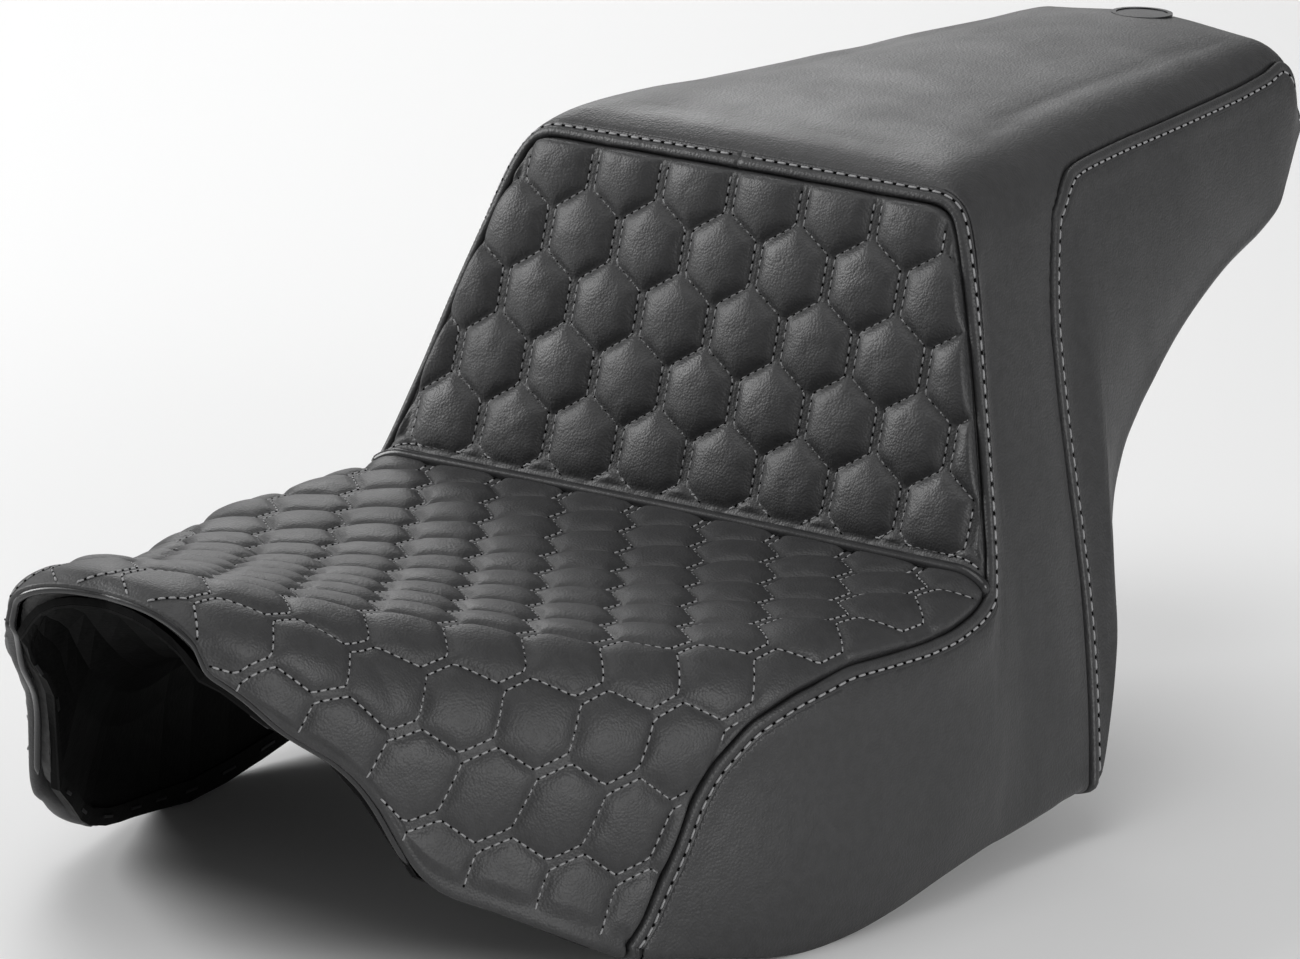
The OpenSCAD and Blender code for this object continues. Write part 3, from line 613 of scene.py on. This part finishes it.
def skirted(U, T, P, faces):
    """Adds the turned edge round an open panel: rolled at the seat's lower edges, straight down in a seam."""
    rim = open_edges(faces)
    ids = sorted({v for e in rim for v in e})
    at = {v: i for i, v in enumerate(ids)}
    ids = np.array(ids)
    u, t = U[ids], T[ids]
    n = normal(u, t)
    su, st = partials(u, t)
    low, nose, tail = np.abs(t) > 2.995, u < 0.02, u > TAIL_END
    out = np.where(low[:, None], unit(st) * np.sign(t)[:, None], 0)
    out = np.where(nose[:, None], -unit(su), out)
    out = np.where((tail & ~low)[:, None], unit(su), out)
    front, open_edge = nose & ~low, low | tail
    reach = edge_reach(u, n) / WIDEST
    depth = 0.35 + 0.65 * ramp(u, 6, 9)     # narrow at the front, where the inside of the nose shows black
    base, m = len(P), len(ids)
    rings = []
    for k, (a, b) in enumerate(EDGE_ROLL):
        front_a, front_b = NOSE_ROLL[min(k, len(NOSE_ROLL) - 1)]
        seam_a, seam_b = SEAM_WALL[min(k, len(SEAM_WALL) - 1)]
        edge_a = np.where(open_edge, np.where(a > 0, a * reach, a), seam_a)
        edge_b = np.where(open_edge, b * depth, seam_b)
        past = np.where(front, front_a, edge_a)[:, None]
        below = np.where(front, front_b, edge_b)[:, None]
        rings.append(P[ids] + out * past - n * below)
    verts = np.concatenate([P] + rings)
    extra = []
    for a, b in rim:
        prev = (a, b)
        for k in range(len(EDGE_ROLL)):
            cur = (base + k * m + at[a], base + k * m + at[b])
            if np.linalg.norm(verts[cur[0]] - verts[prev[0]]) > 1e-4:
                extra.append([prev[1], prev[0], cur[0], cur[1]])
                prev = cur
    return verts, [list(f) for f in faces] + extra


# Mesh spacings, in millimetres
RIDER_FINE = 1.66     # keeps the largest panel under 200,000 faces
FINE = 1.45
COARSE = 2.1


def rider_panel(material):
    """The quilted cover from the nose to the piping, with both skirts."""
    u = even_rows(0, WELT_U, RIDER_FINE, (0, 1.2, 2, 2.6))
    cols = int(560 / RIDER_FINE)
    U, T = panel_grid(u, half_width(np.maximum(u, LOW_U)), cols)
    P = skin(U, T)
    P = P + normal(U, T) * rider_height(U, T, P)[..., None]
    V, F = skirted(U.ravel(), T.ravel(), P.reshape(-1, 3), grid_faces(*U.shape))
    return mesh_object("rider_quilted_cover", V, F, material)


def back_panel(material):
    """The quilted cover from the piping up to the passenger part's front edge."""
    u = even_rows(WELT_U, TOP_U, FINE, (0, 1.2))
    U, T = panel_grid(u, half_width(u), int(350 / FINE))
    P = skin(U, T)
    P = P + normal(U, T) * back_height(U, T, P)[..., None]
    V, F = skirted(U.ravel(), T.ravel(), P.reshape(-1, 3), grid_faces(*U.shape))
    return mesh_object("backrest_quilted_cover", V, F, material)


def nearest_rows(count, total):
    """For each of count even samples of a path, the nearest of its total points."""
    return np.clip(np.round(np.linspace(0, total - 1, count)).astype(int), 0, total - 1)


def seam_strip(u, t, away):
    """The folded edge along a seam: rows along it, columns over the roll."""
    su, st = respace(u, t, 2.4)
    side = away[nearest_rows(len(su), len(u))]
    columns = [(su, st)] + [shift(su, st, side, d) for d in ROLL_D[1:]]
    U, T = (np.stack([c[i] for c in columns], 1) for i in (0, 1))
    return U, T, skin(U, T) + normal(U, T) * np.broadcast_to(ROLL_H, U.shape)[..., None]


def toward(u, t, target):
    """Unit vectors along the skin and across a seam, on the side where target is."""
    p = skin(u, t)
    side = unit(np.cross(normal(u, t), np.gradient(p, axis=0)))
    return side if ((target - p[0]) * side[0]).sum() > 0 else -side


OUT_OF_QUILT = -toward(INNER_U, INNER_T, skin(14.0, 0.0))
INTO_SIDE = toward(GROOVE_U, GROOVE_T, skin(30.0, 2.4))


def join(parts):
    """Several (points, faces) as one."""
    V, F, base = [], [], 0
    for v, f in parts:
        V.append(v)
        F += [[int(i) + base for i in g] for g in f]
        base += len(v)
    return np.concatenate(V), F


def mirrored(P):
    """Points of the seat's other side."""
    Q = P.copy()
    Q[..., 0] *= -1
    return Q


def strip_parts(u, t, away, both):
    """The folded edge with its turned rim, on both sides of the seat or only on the left."""
    U, T, P = seam_strip(u, t, away)
    f = grid_faces(*U.shape)
    faces_up = (np.cross(P[0, 1] - P[0, 0], P[1, 0] - P[0, 0]) * normal(U[:1, 0], T[:1, 0])[0]).sum() >= 0
    if not faces_up:
        f = f[:, ::-1]
    V, F = skirted(U.ravel(), T.ravel(), P.reshape(-1, 3), f)
    return [(V, F), (mirrored(V), [g[::-1] for g in F])] if both else [(V, F)]


def wrap_panel(material):
    """The smooth cover outside the quilt's outline and above the grooves."""
    u = even_rows(7.6, LAST, COARSE, (0, 1.0, 2.0))
    U, T = panel_grid(u, np.full_like(u, 3.0), int(600 / COARSE))
    P = skin(U, T)
    inner, groove = INNER.dist(P), GROOVE_LINE.dist(P)
    phi = np.where(in_quilt(U, T), -inner, inner) - ROLL_END
    phi = np.where(u[:, None] < LOW_U, -inner - ROLL_END, phi)
    phi = np.minimum(phi, np.where(in_side(U, T), -groove, groove))
    cu, ct, faces = clip(U.ravel(), T.ravel(), grid_faces(*U.shape), phi.ravel())
    P = skin(cu, ct)
    P = P + normal(cu, ct) * wrap_height(cu, ct, P)[..., None]
    V, F = join([skirted(cu, ct, P, faces)] + strip_parts(INNER_U, INNER_T, OUT_OF_QUILT, True))
    return mesh_object("pillion_wrap_cover_soft", V, F, material)


def side_panel(material, sign):
    """The smooth cover below a groove, on the left (sign 1) or on the right."""
    u = even_rows(23.0, LAST, COARSE, (1.5, 2.0, 3.0))
    frac = np.linspace(0, 1, int(190 / COARSE))
    lo, hi = girth(u, np.full_like(u, 1.2)), girth(u, np.full_like(u, 3.0))
    U = np.repeat(u[:, None], len(frac), 1)
    S = lo[:, None] + (hi - lo)[:, None] * frac[None, :]
    T = np.minimum(t_at(U.ravel(), S.ravel()), 3.0).reshape(U.shape)
    P = skin(U, T)
    groove = GROOVE_LINE.dist(P)
    phi = np.where(in_side(U, T), groove, -groove) - ROLL_END
    cu, ct, faces = clip(U.ravel(), T.ravel(), grid_faces(*U.shape), phi.ravel())
    P = skin(cu, ct)
    P = P + normal(cu, ct) * side_height(cu, ct, P)[..., None]
    V, F = join([skirted(cu, ct, P, faces)] + strip_parts(GROOVE_U, GROOVE_T, INTO_SIDE, False))
    if sign < 0:
        V, F = mirrored(V), [f[::-1] for f in F]
    name = "side_cover_left_soft" if sign > 0 else "side_cover_right_soft"
    return mesh_object(name, V, F, material)


# ------------------------------------------------------------------ stitching
QUILT_STITCH, TOP_STITCH = 4.3, 6.2     # stitch periods
# HOLE_SHARE is the length of the black caps that paint the shade in the needle holes
THREAD_SHARE, HOLE_SHARE = 0.74, 0.26   # of the period, along the seam
QUILT_LIFT, WELT_LIFT, TOP_LIFT = 0.35, 0.5, 0.1        # height of the stitches over the skin


def locate(s, target, axis, u):
    """The (u, t) at girth s whose y (axis 1) or z (axis 2) is target."""
    for _ in range(14):
        t = t_at(u, s)
        p = skin(u, t)[:, axis]
        d = (skin(np.clip(u + 0.02, 0, LAST), t)[:, axis] - p) / 0.02
        d = np.where(np.abs(d) < 2, 2 * np.sign(d + 1e-9), d)
        u = np.clip(u + np.clip((target - p) / d, -1, 1) * 0.85, 0, LAST)
    return u, t_at(u, s)


def zigzag(h, row, leg, rows, double_odd):
    """One stitched row: along the double sides of columns h and h + 1 in turn. Returns lattice x, y."""
    pts = []
    for n in rows:
        left = ((h + n) % 2 == 1) == double_odd
        x = h * CELL + PAIR if left else (h + 1) * CELL - PAIR
        pts += [(x, n * row - leg), (x, n * row + leg)]
    p = np.array(pts)
    d = lengths(p)
    q = np.arange(0, d[-1], 1.0)
    return np.interp(q, d, p[:, 0]), np.interp(q, d, p[:, 1])


def capsule(length, dia, sides=6):
    """A stitch lying along +X, its ends sunk into the cover: points and faces."""
    rings = [(-0.46, 0.62, 0.25), (-0.3, 0.95, 0), (0.3, 0.95, 0), (0.46, 0.62, 0.25)]   # along, radius, sunk
    v = [(-0.5 * length, 0, -0.35)]
    for x, r, sunk in rings:
        for a in np.arange(sides) * 2 * math.pi / sides:
            v.append((x * length, r * dia / 2 * math.cos(a), r * dia / 2 * math.sin(a) - sunk))
    v.append((0.5 * length, 0, -0.35))
    f = []
    for i in range(len(rings) - 1):
        for j in range(sides):
            a, b = 1 + i * sides + j, 1 + i * sides + (j + 1) % sides
            f.append((a, a + sides, b + sides, b))
    last = len(v) - 1
    for j in range(sides):
        f.append((0, 1 + j, 1 + (j + 1) % sides))
        f.append((last, last - 1 - j, last - 1 - (j + 1) % sides))
    return np.array(v, float), f


def sew(name, lines, period, dia, material, share, offset):
    """Stitches, or black caps of painted needle-hole shade half a period on, along (points, normals, keep)
    lines.
    """
    cap_v, cap_f = capsule(period * share, dia)
    V, F, base = [], [], 0
    for p, n, keep in lines:
        d = lengths(p)
        for c in np.arange(period * (0.6 + offset), d[-1] - period * 0.6, period):
            i = min(int(np.searchsorted(d, c)), len(p) - 1)
            if not keep[i]:
                continue
            reach = period * share / 2
            ends = [np.array([np.interp(q, d, p[:, m]) for m in range(3)]) for q in (c - reach, c + reach)]
            x = ends[1] - ends[0]
            x /= np.linalg.norm(x)
            z = n[i] - x * (n[i] @ x)
            z /= np.linalg.norm(z)
            V.append(cap_v @ np.stack([x, np.cross(z, x), z]) + (ends[0] + ends[1]) / 2)
            F += [[k + base for k in f] for f in cap_f]
            base += len(cap_v)
    return mesh_object(name, np.concatenate(V), F, material)


def rider_lines():
    """The honeycomb's stitched rows on the rider panel, as (points, normals, keep)."""
    for h in range(-16, 16):
        x, y = zigzag(h, RIDER_ROW, RIDER_LEG, range(-1, 16), True)
        along = RIDER_START - y
        for _ in range(6):
            along = RIDER_START - y + RIDER_ROW * row_drift(x, along)
        target = along + ORIGIN_Y
        u, t = locate(x, target, 1, np.interp(target, STATIONS[:19, 3], np.arange(19)))
        p = skin(u, t)
        keep = (np.abs(p[:, 1] - target) < 1.5) & (u > 0.08) & (u < WELT_U - 0.1) & (np.abs(t) < 2.99)
        keep &= (in_quilt(u, t) | (u < LOW_U)) & (INNER.dist(p) > 4.5) & (WELT.dist(p) > 4)
        n = normal(u, t)
        if keep.any():
            yield p + n * QUILT_LIFT, n, keep


def back_lines():
    """The honeycomb's stitched rows on the backrest, as (points, normals, keep)."""
    lip = [0, 3, 3, 3, 0, 0]
    for h in range(-8, 8):
        x, y = zigzag(h, BACK_ROW, BACK_LEG, range(-4, 5), False)
        target = ORIGIN_Z + math.cos(LEAN) * (y + BACK_LEG - BACK_BOW * x * x)
        u, t = locate(x, target, 2, np.interp(target, STATIONS[15:21, 4] + lip, np.arange(15, 21)))
        p = skin(u, t)
        keep = (np.abs(p[:, 2] - target) < 1.5) & (u > WELT_U) & (u < TOP_U)
        keep &= in_quilt(u, t) & (INNER.dist(p) > 4) & (WELT.dist(p) > BACK_FLAT)
        n = normal(u, t)
        if keep.any():
            yield p + n * QUILT_LIFT, n, keep


def welt_line():
    """The row of stitches just above the piping."""
    t = np.linspace(-1.43, 1.43, 360)
    u = np.full_like(t, WELT_U)
    u = u + (BACK_FLAT - 0.6) / np.linalg.norm(partials(u, t)[0], axis=-1)
    n = normal(u, t)
    return skin(u, t) + n * WELT_LIFT, n, np.ones(len(t), bool)


def seam_line(u, t, away, sign):
    """The topstitch beside a seam, on the left (sign 1) or on the right."""
    su, st = respace(u, t, 1.0)
    x, y = shift(su, st, away[nearest_rows(len(su), len(u))], STITCH_AT)
    n = normal(x, y)
    p = skin(x, y) + n * TOP_LIFT
    if sign < 0:
        p, n = mirrored(p), mirrored(n)
    return p, n, np.ones(len(p), bool)


# ------------------------------------------------------------------ tubes and foam
def tube(name, path, normals, radius, material, sides):
    """A closed round bar along a path; radius is one number, or one for each point."""
    tangent = unit(np.gradient(path, axis=0))
    n = unit(normals - tangent * (normals * tangent).sum(-1, keepdims=True))
    b = np.cross(tangent, n)
    a = np.arange(sides) * 2 * math.pi / sides
    r = np.broadcast_to(np.asarray(radius, float), (len(path),))
    spokes = np.cos(a)[None, :, None] * n[:, None] + np.sin(a)[None, :, None] * b[:, None]
    ring = path[:, None] + r[:, None, None] * spokes
    faces = []
    for i in range(len(path) - 1):
        for j in range(sides):
            k = (j + 1) % sides
            faces.append((i * sides + j, i * sides + k, (i + 1) * sides + k, (i + 1) * sides + j))
    faces.append(tuple(range(sides))[::-1])
    faces.append(tuple((len(path) - 1) * sides + j for j in range(sides)))
    return mesh_object(name, ring.reshape(-1, 3), faces, material)


CORD_RADIUS, BEAD_RADIUS = 2.7, 1.6


def welt_cord(material):
    """The piping between the two quilted panels; its ends sink into the side seams."""
    t = np.linspace(-1.49, 1.49, 230)
    u = np.full_like(t, WELT_U)
    n = normal(u, t)
    sink = 5 * ramp(np.abs(t), 1.42, 1.49)
    return tube("seat_welt_cord", skin(u, t) + n * (1.0 - sink)[:, None], n, CORD_RADIUS, material, 14)


def nose_trim(material):
    """The bead round the nose's edge: down one side, across the front and down the other."""
    side_u = np.linspace(4.7, 0.02, 110)
    side_t = np.full_like(side_u, 3.0)
    u = np.concatenate([side_u, np.full(420, 0.02), side_u[::-1]])
    t = np.concatenate([-side_t, np.linspace(-3, 3, 420), side_t])
    su, st = partials(u, t)
    n = normal(u, t)
    side = np.abs(t) > 2.999
    out = np.where(side[:, None], unit(st) * np.sign(t)[:, None], -unit(su))
    drop = np.where(side, edge_reach(u, n), 0.3)[:, None]
    p = skin(u, t) + out * (0.3 + 0.9 * drop) - n * np.where(side, 5.0, 3.0)[:, None]
    for _ in range(30):
        p[1:-1] = (p[:-2] + 2 * p[1:-1] + p[2:]) / 4
        n[1:-1] = unit((n[:-2] + 2 * n[1:-1] + n[2:]) / 4)
    d = lengths(p)
    q = np.linspace(0, d[-1], int(d[-1] / 2.2))
    p, n = (np.stack([np.interp(q, d, v[:, k]) for k in range(3)], -1) for v in (p, n))
    r = BEAD_RADIUS * np.clip(np.minimum(q, d[-1] - q) / 6 + 0.3, 0.3, 1)
    return tube("nose_edge_bead", p, unit(n), r, material, 12)


def foam(name, u0, u1, material):
    """The moulded pad between a cover and the base pan, a closed form."""
    u = np.linspace(u0, u1, int((u1 - u0) * 4) + 2)
    U, T = np.meshgrid(u, np.linspace(-2.93, 2.93, 90), indexing="ij")
    edge = np.clip(3 - np.abs(T), 0, 1)
    top = skin(U, T) - normal(U, T) * (2.6 + 3.0 * np.clip(edge * 8, 0, 1))[..., None]
    r, c = U.shape
    m = r * c
    faces = grid_faces(r, c)
    F = [tuple(f) for f in faces] + [tuple(f[::-1] + m) for f in faces]
    rim = ([(i * c, (i + 1) * c) for i in range(r - 1)]
           + [((i + 1) * c + c - 1, i * c + c - 1) for i in range(r - 1)]
           + [(j + 1, j) for j in range(c - 1)]
           + [((r - 1) * c + j, (r - 1) * c + j + 1) for j in range(c - 1)])
    F += [(b, a, a + m, b + m) for a, b in rim]
    return mesh_object(name, np.concatenate([top.reshape(-1, 3), pan(U, T).reshape(-1, 3)]), F, material)


# ------------------------------------------------------------------ materials
def material(name, colour, rough, grain, mottle, metal=0.0, specular=0.5):
    """A Principled material. grain = (size, depth, wrinkle) of the surface's bump, in millimetres."""
    size, depth, wrinkle = grain
    m = bpy.data.materials.new(name)
    m.use_nodes = True
    nodes, links = m.node_tree.nodes, m.node_tree.links
    shader = nodes["Principled BSDF"]
    shader.inputs["Metallic"].default_value = metal
    shader.inputs["Specular IOR Level"].default_value = specular
    coord = nodes.new("ShaderNodeTexCoord")

    def noise_node(size_mm, detail):
        n = nodes.new("ShaderNodeTexNoise")
        n.inputs["Scale"].default_value = 1000 / size_mm
        n.inputs["Detail"].default_value = detail
        links.new(coord.outputs["Object"], n.inputs["Vector"])
        return n

    def bump_node(depth_mm, height, under=None):
        n = nodes.new("ShaderNodeBump")
        n.inputs["Strength"].default_value = 1
        n.inputs["Distance"].default_value = depth_mm * MM
        links.new(height, n.inputs["Height"])
        if under:
            links.new(under.outputs["Normal"], n.inputs["Normal"])
        return n

    gloss = nodes.new("ShaderNodeMapRange")
    gloss.inputs["From Min"].default_value, gloss.inputs["From Max"].default_value = 0.3, 0.7
    gloss.inputs["To Min"].default_value = max(rough - 0.05, 0.02)
    gloss.inputs["To Max"].default_value = min(rough + 0.06, 1)
    links.new(noise_node(38, 3).outputs["Fac"], gloss.inputs["Value"])
    links.new(gloss.outputs[0], shader.inputs["Roughness"])

    tint = nodes.new("ShaderNodeValToRGB")
    ends = tint.color_ramp.elements
    ends[0].position, ends[1].position = 0.35, 0.65
    ends[0].color = (*(c * (1 - mottle) for c in colour), 1)
    ends[1].color = (*(min(c * (1 + mottle), 1) for c in colour), 1)
    links.new(noise_node(size * 4, 4).outputs["Fac"], tint.inputs["Fac"])
    links.new(tint.outputs["Color"], shader.inputs["Base Color"])

    cell = nodes.new("ShaderNodeTexVoronoi")
    cell.feature = "SMOOTH_F1"
    cell.inputs["Scale"].default_value = 1000 / size
    cell.inputs["Smoothness"].default_value = 0.35
    links.new(coord.outputs["Object"], cell.inputs["Vector"])
    bump = bump_node(depth, cell.outputs["Distance"])
    bump.invert = True
    if wrinkle:
        bump = bump_node(wrinkle, noise_node(size * 5, 4).outputs["Fac"], bump)
    links.new(bump.outputs["Normal"], shader.inputs["Normal"])
    return m


VINYL = material("black_grained_vinyl", (0.030, 0.030, 0.031), 0.46, (1.2, 0.16, 0.12), 0.12)
QUILT = material("black_quilted_vinyl", (0.030, 0.030, 0.031), 0.5, (1.1, 0.17, 0.08), 0.12)
WELT_VINYL = material("black_smooth_piping", (0.022, 0.022, 0.023), 0.25, (1.6, 0.03, 0), 0.08)
THREAD = material("grey_thread", (0.29, 0.29, 0.295), 0.6, (0.5, 0.05, 0), 0.1)
# black caps between the stitches: painted shade of the needle holes, not a colour of the cover
NEEDLE_HOLE_SHADE = material("painted_needle_hole_shade", (0.003, 0.003, 0.003), 0.9, (0.6, 0.03, 0), 0.1, specular=0.02)
FOAM = material("dark_moulded_foam", (0.10, 0.10, 0.10), 0.9, (1.0, 0.3, 0.3), 0.15)
# black moulded plastic, made darker and less reflective than the plastic itself as painted shade, so the
# hollow under the seat reads as deep shadow
PAN_PAINTED_SHADE = material("black_pan_painted_shade", (0.003, 0.003, 0.003), 0.6, (2.2, 0.12, 0.1), 0.1, specular=0.06)
# the hem is the covers' black vinyl; this darker, duller copy is painted shade for where it lies in the
# hollow under the seat
HEM_PAINTED_SHADE = material("black_hem_vinyl_painted_shade", (0.007, 0.007, 0.007), 0.6, (1.3, 0.1, 0.2), 0.1, specular=0.06)
STAPLE = material("blackened_staple", (0.06, 0.06, 0.062), 0.45, (3, 0.02, 0), 0.08, metal=1)
PAINT = material("black_bracket_paint", (0.02, 0.02, 0.021), 0.33, (1.5, 0.04, 0.03), 0.08)
ALUMINIUM = material("aluminium_rivet", (0.72, 0.72, 0.73), 0.3, (2, 0.02, 0), 0.05, metal=1)
NYLON = material("black_nylon", (0.025, 0.025, 0.026), 0.42, (2, 0.04, 0), 0.08)
SCREW = material("zinc_screw", (0.6, 0.6, 0.58), 0.28, (2, 0.02, 0), 0.06, metal=1)
RUBBER = material("black_rubber", (0.022, 0.022, 0.022), 0.72, (1.2, 0.08, 0.05), 0.12)
BADGE = material("satin_badge_metal", (0.05, 0.05, 0.052), 0.42, (2.5, 0.02, 0), 0.06, metal=1)

CAD_LOOKS = {
    "base_pan": PAN_PAINTED_SHADE, "hem_band": HEM_PAINTED_SHADE, "hem_staples": STAPLE, "front_tongue": PAINT, "rear_tab": PAINT,
    "tongue_rivets": ALUMINIUM, "rear_tab_spacers": NYLON, "rear_tab_bolts": SCREW, "rear_tab_washers": SCREW,
    "rest_pad_screws": SCREW, "front_rest_pads": RUBBER, "middle_rest_pads": RUBBER, "rear_rest_pads": RUBBER,
    "tail_badge": BADGE,
}
for node, look in CAD_LOOKS.items():
    obj = bpy.data.objects[node]
    obj.data.materials.clear()
    obj.data.materials.append(look)


# ------------------------------------------------------------------ assembly
def place(obj, slot, *nodes, fill=None):
    """Ties a piece to the seat's body and hides the CAD nodes it stands for. slot (its slot) is not used;
    fill (how full its padding is) is not used.
    """
    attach(obj, BODY)
    if nodes:
        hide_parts(*nodes)


place(rider_panel(QUILT), "quilted_vinyl", "rider_cover", "rider_quilt_backing", fill=0.75)
place(back_panel(QUILT), "quilted_vinyl", "backrest_cover", "backrest_quilt_backing", fill=0.8)
place(wrap_panel(VINYL), "smooth_vinyl", "pillion_wrap_cover", fill=0.85)
place(side_panel(VINYL, 1), "smooth_vinyl", "side_cover_left", fill=0.85)
place(side_panel(VINYL, -1), "smooth_vinyl", "side_cover_right", fill=0.85)
place(foam("rider_foam_pad", 0.35, 15.2, FOAM), "seat_foam", "rider_foam", fill=0.9)
place(foam("passenger_foam_pad", 15.6, LAST - 0.4, FOAM), "seat_foam", "passenger_foam", fill=0.9)
place(welt_cord(WELT_VINYL), "welt_vinyl", "seat_welt")
place(nose_trim(WELT_VINYL), "welt_vinyl", "nose_bead")

SEWN = (
    ("rider_quilt", list(rider_lines()), QUILT_STITCH, 0.95, "quilted_vinyl"),
    ("backrest_quilt", list(back_lines()) + [welt_line()], QUILT_STITCH, 0.95, "quilted_vinyl"),
    ("wrap_topstitch", [seam_line(INNER_U, INNER_T, OUT_OF_QUILT, s) for s in (1, -1)], TOP_STITCH, 1.1,
     "smooth_vinyl"),
    ("side_topstitch", [seam_line(GROOVE_U, GROOVE_T, INTO_SIDE, s) for s in (1, -1)], TOP_STITCH, 1.1,
     "smooth_vinyl"),
)
for name, lines, period, dia, slot_name in SEWN:
    place(sew(name + "_thread", lines, period, dia, THREAD, THREAD_SHARE, 0), slot_name)
    # the second pass lays black caps of painted needle-hole shade between the stitches
    place(sew(name + "_needle_hole_shade", lines, period, dia * 0.95, NEEDLE_HOLE_SHADE, HOLE_SHARE, 0.5), slot_name)


# ------------------------------------------------------------------ stage, light and camera
AZIMUTH, ELEVATION, LENS = 37.88, 15.35, 249.23
CAMERA_AT = (2.2774, -2.9457, 1.1648)
FLOOR_HALF = 40
SKY = 0.29


def camera():
    """The photograph's view, from about four metres."""
    a, e = math.radians(AZIMUTH), math.radians(ELEVATION)
    right = Vector((math.cos(a), math.sin(a), 0))
    up = Vector((-math.sin(a) * math.sin(e), math.cos(a) * math.sin(e), math.cos(e)))
    back = Vector((math.sin(a) * math.cos(e), -math.cos(a) * math.cos(e), math.sin(e)))
    cam = bpy.data.objects.new("camera", bpy.data.cameras.new("camera"))
    bpy.context.scene.collection.objects.link(cam)
    m = Matrix((right, up, back)).transposed().to_4x4()
    m.translation = Vector(CAMERA_AT)
    cam.matrix_world = m
    cam.data.sensor_fit = "HORIZONTAL"
    cam.data.sensor_width, cam.data.lens = 36, LENS
    cam.data.clip_start, cam.data.clip_end = 0.1, 100
    bpy.context.scene.camera = cam


def lamp(name, location, target, size, power):
    data = bpy.data.lights.new(name, "AREA")
    data.shape, data.size, data.energy = "DISK", size, power
    obj = bpy.data.objects.new(name, data)
    bpy.context.scene.collection.objects.link(obj)
    obj.location = location
    obj.rotation_mode = "QUATERNION"
    obj.rotation_quaternion = (Vector(target) - Vector(location)).to_track_quat("-Z", "Y")


def floor():
    me = bpy.data.meshes.new("studio_floor")
    s = FLOOR_HALF
    me.from_pydata([(-s, -s, 0), (s, -s, 0), (s, s, 0), (-s, s, 0)], [], [(0, 1, 2, 3)])
    m = bpy.data.materials.new("pale_floor")
    m.use_nodes = True
    b = m.node_tree.nodes["Principled BSDF"]
    b.inputs["Base Color"].default_value = (0.86, 0.86, 0.86, 1)
    b.inputs["Roughness"].default_value = 0.9
    b.inputs["Specular IOR Level"].default_value = 0.1
    me.materials.append(m)
    obj = bpy.data.objects.new("studio_floor", me)
    bpy.context.scene.collection.objects.link(obj)


scene = bpy.context.scene
camera()
floor()
world = bpy.data.worlds.new("studio")
scene.world = world
world.use_nodes = True
world.node_tree.nodes["Background"].inputs["Color"].default_value = (1, 1, 1, 1)
world.node_tree.nodes["Background"].inputs["Strength"].default_value = SKY
lamp("overhead", (0.0, -0.3, 2.6), (0, -0.2, 0), 1.8, 15)
lamp("back_left", (-1.8, 1.6, 1.5), (0, 0.05, 0.2), 1.4, 12)
lamp("back", (-1.55, 2.0, 1.4), (0, 0.1, 0.2), 1.8, 7)
lamp("left", (-2.3, -0.9, 1.25), (0, 0, 0.15), 1.5, 52)
lamp("right", (2.6, -0.4, 1.0), (0, 0, 0.15), 1.4, 32)
scene.view_settings.view_transform = "Standard"
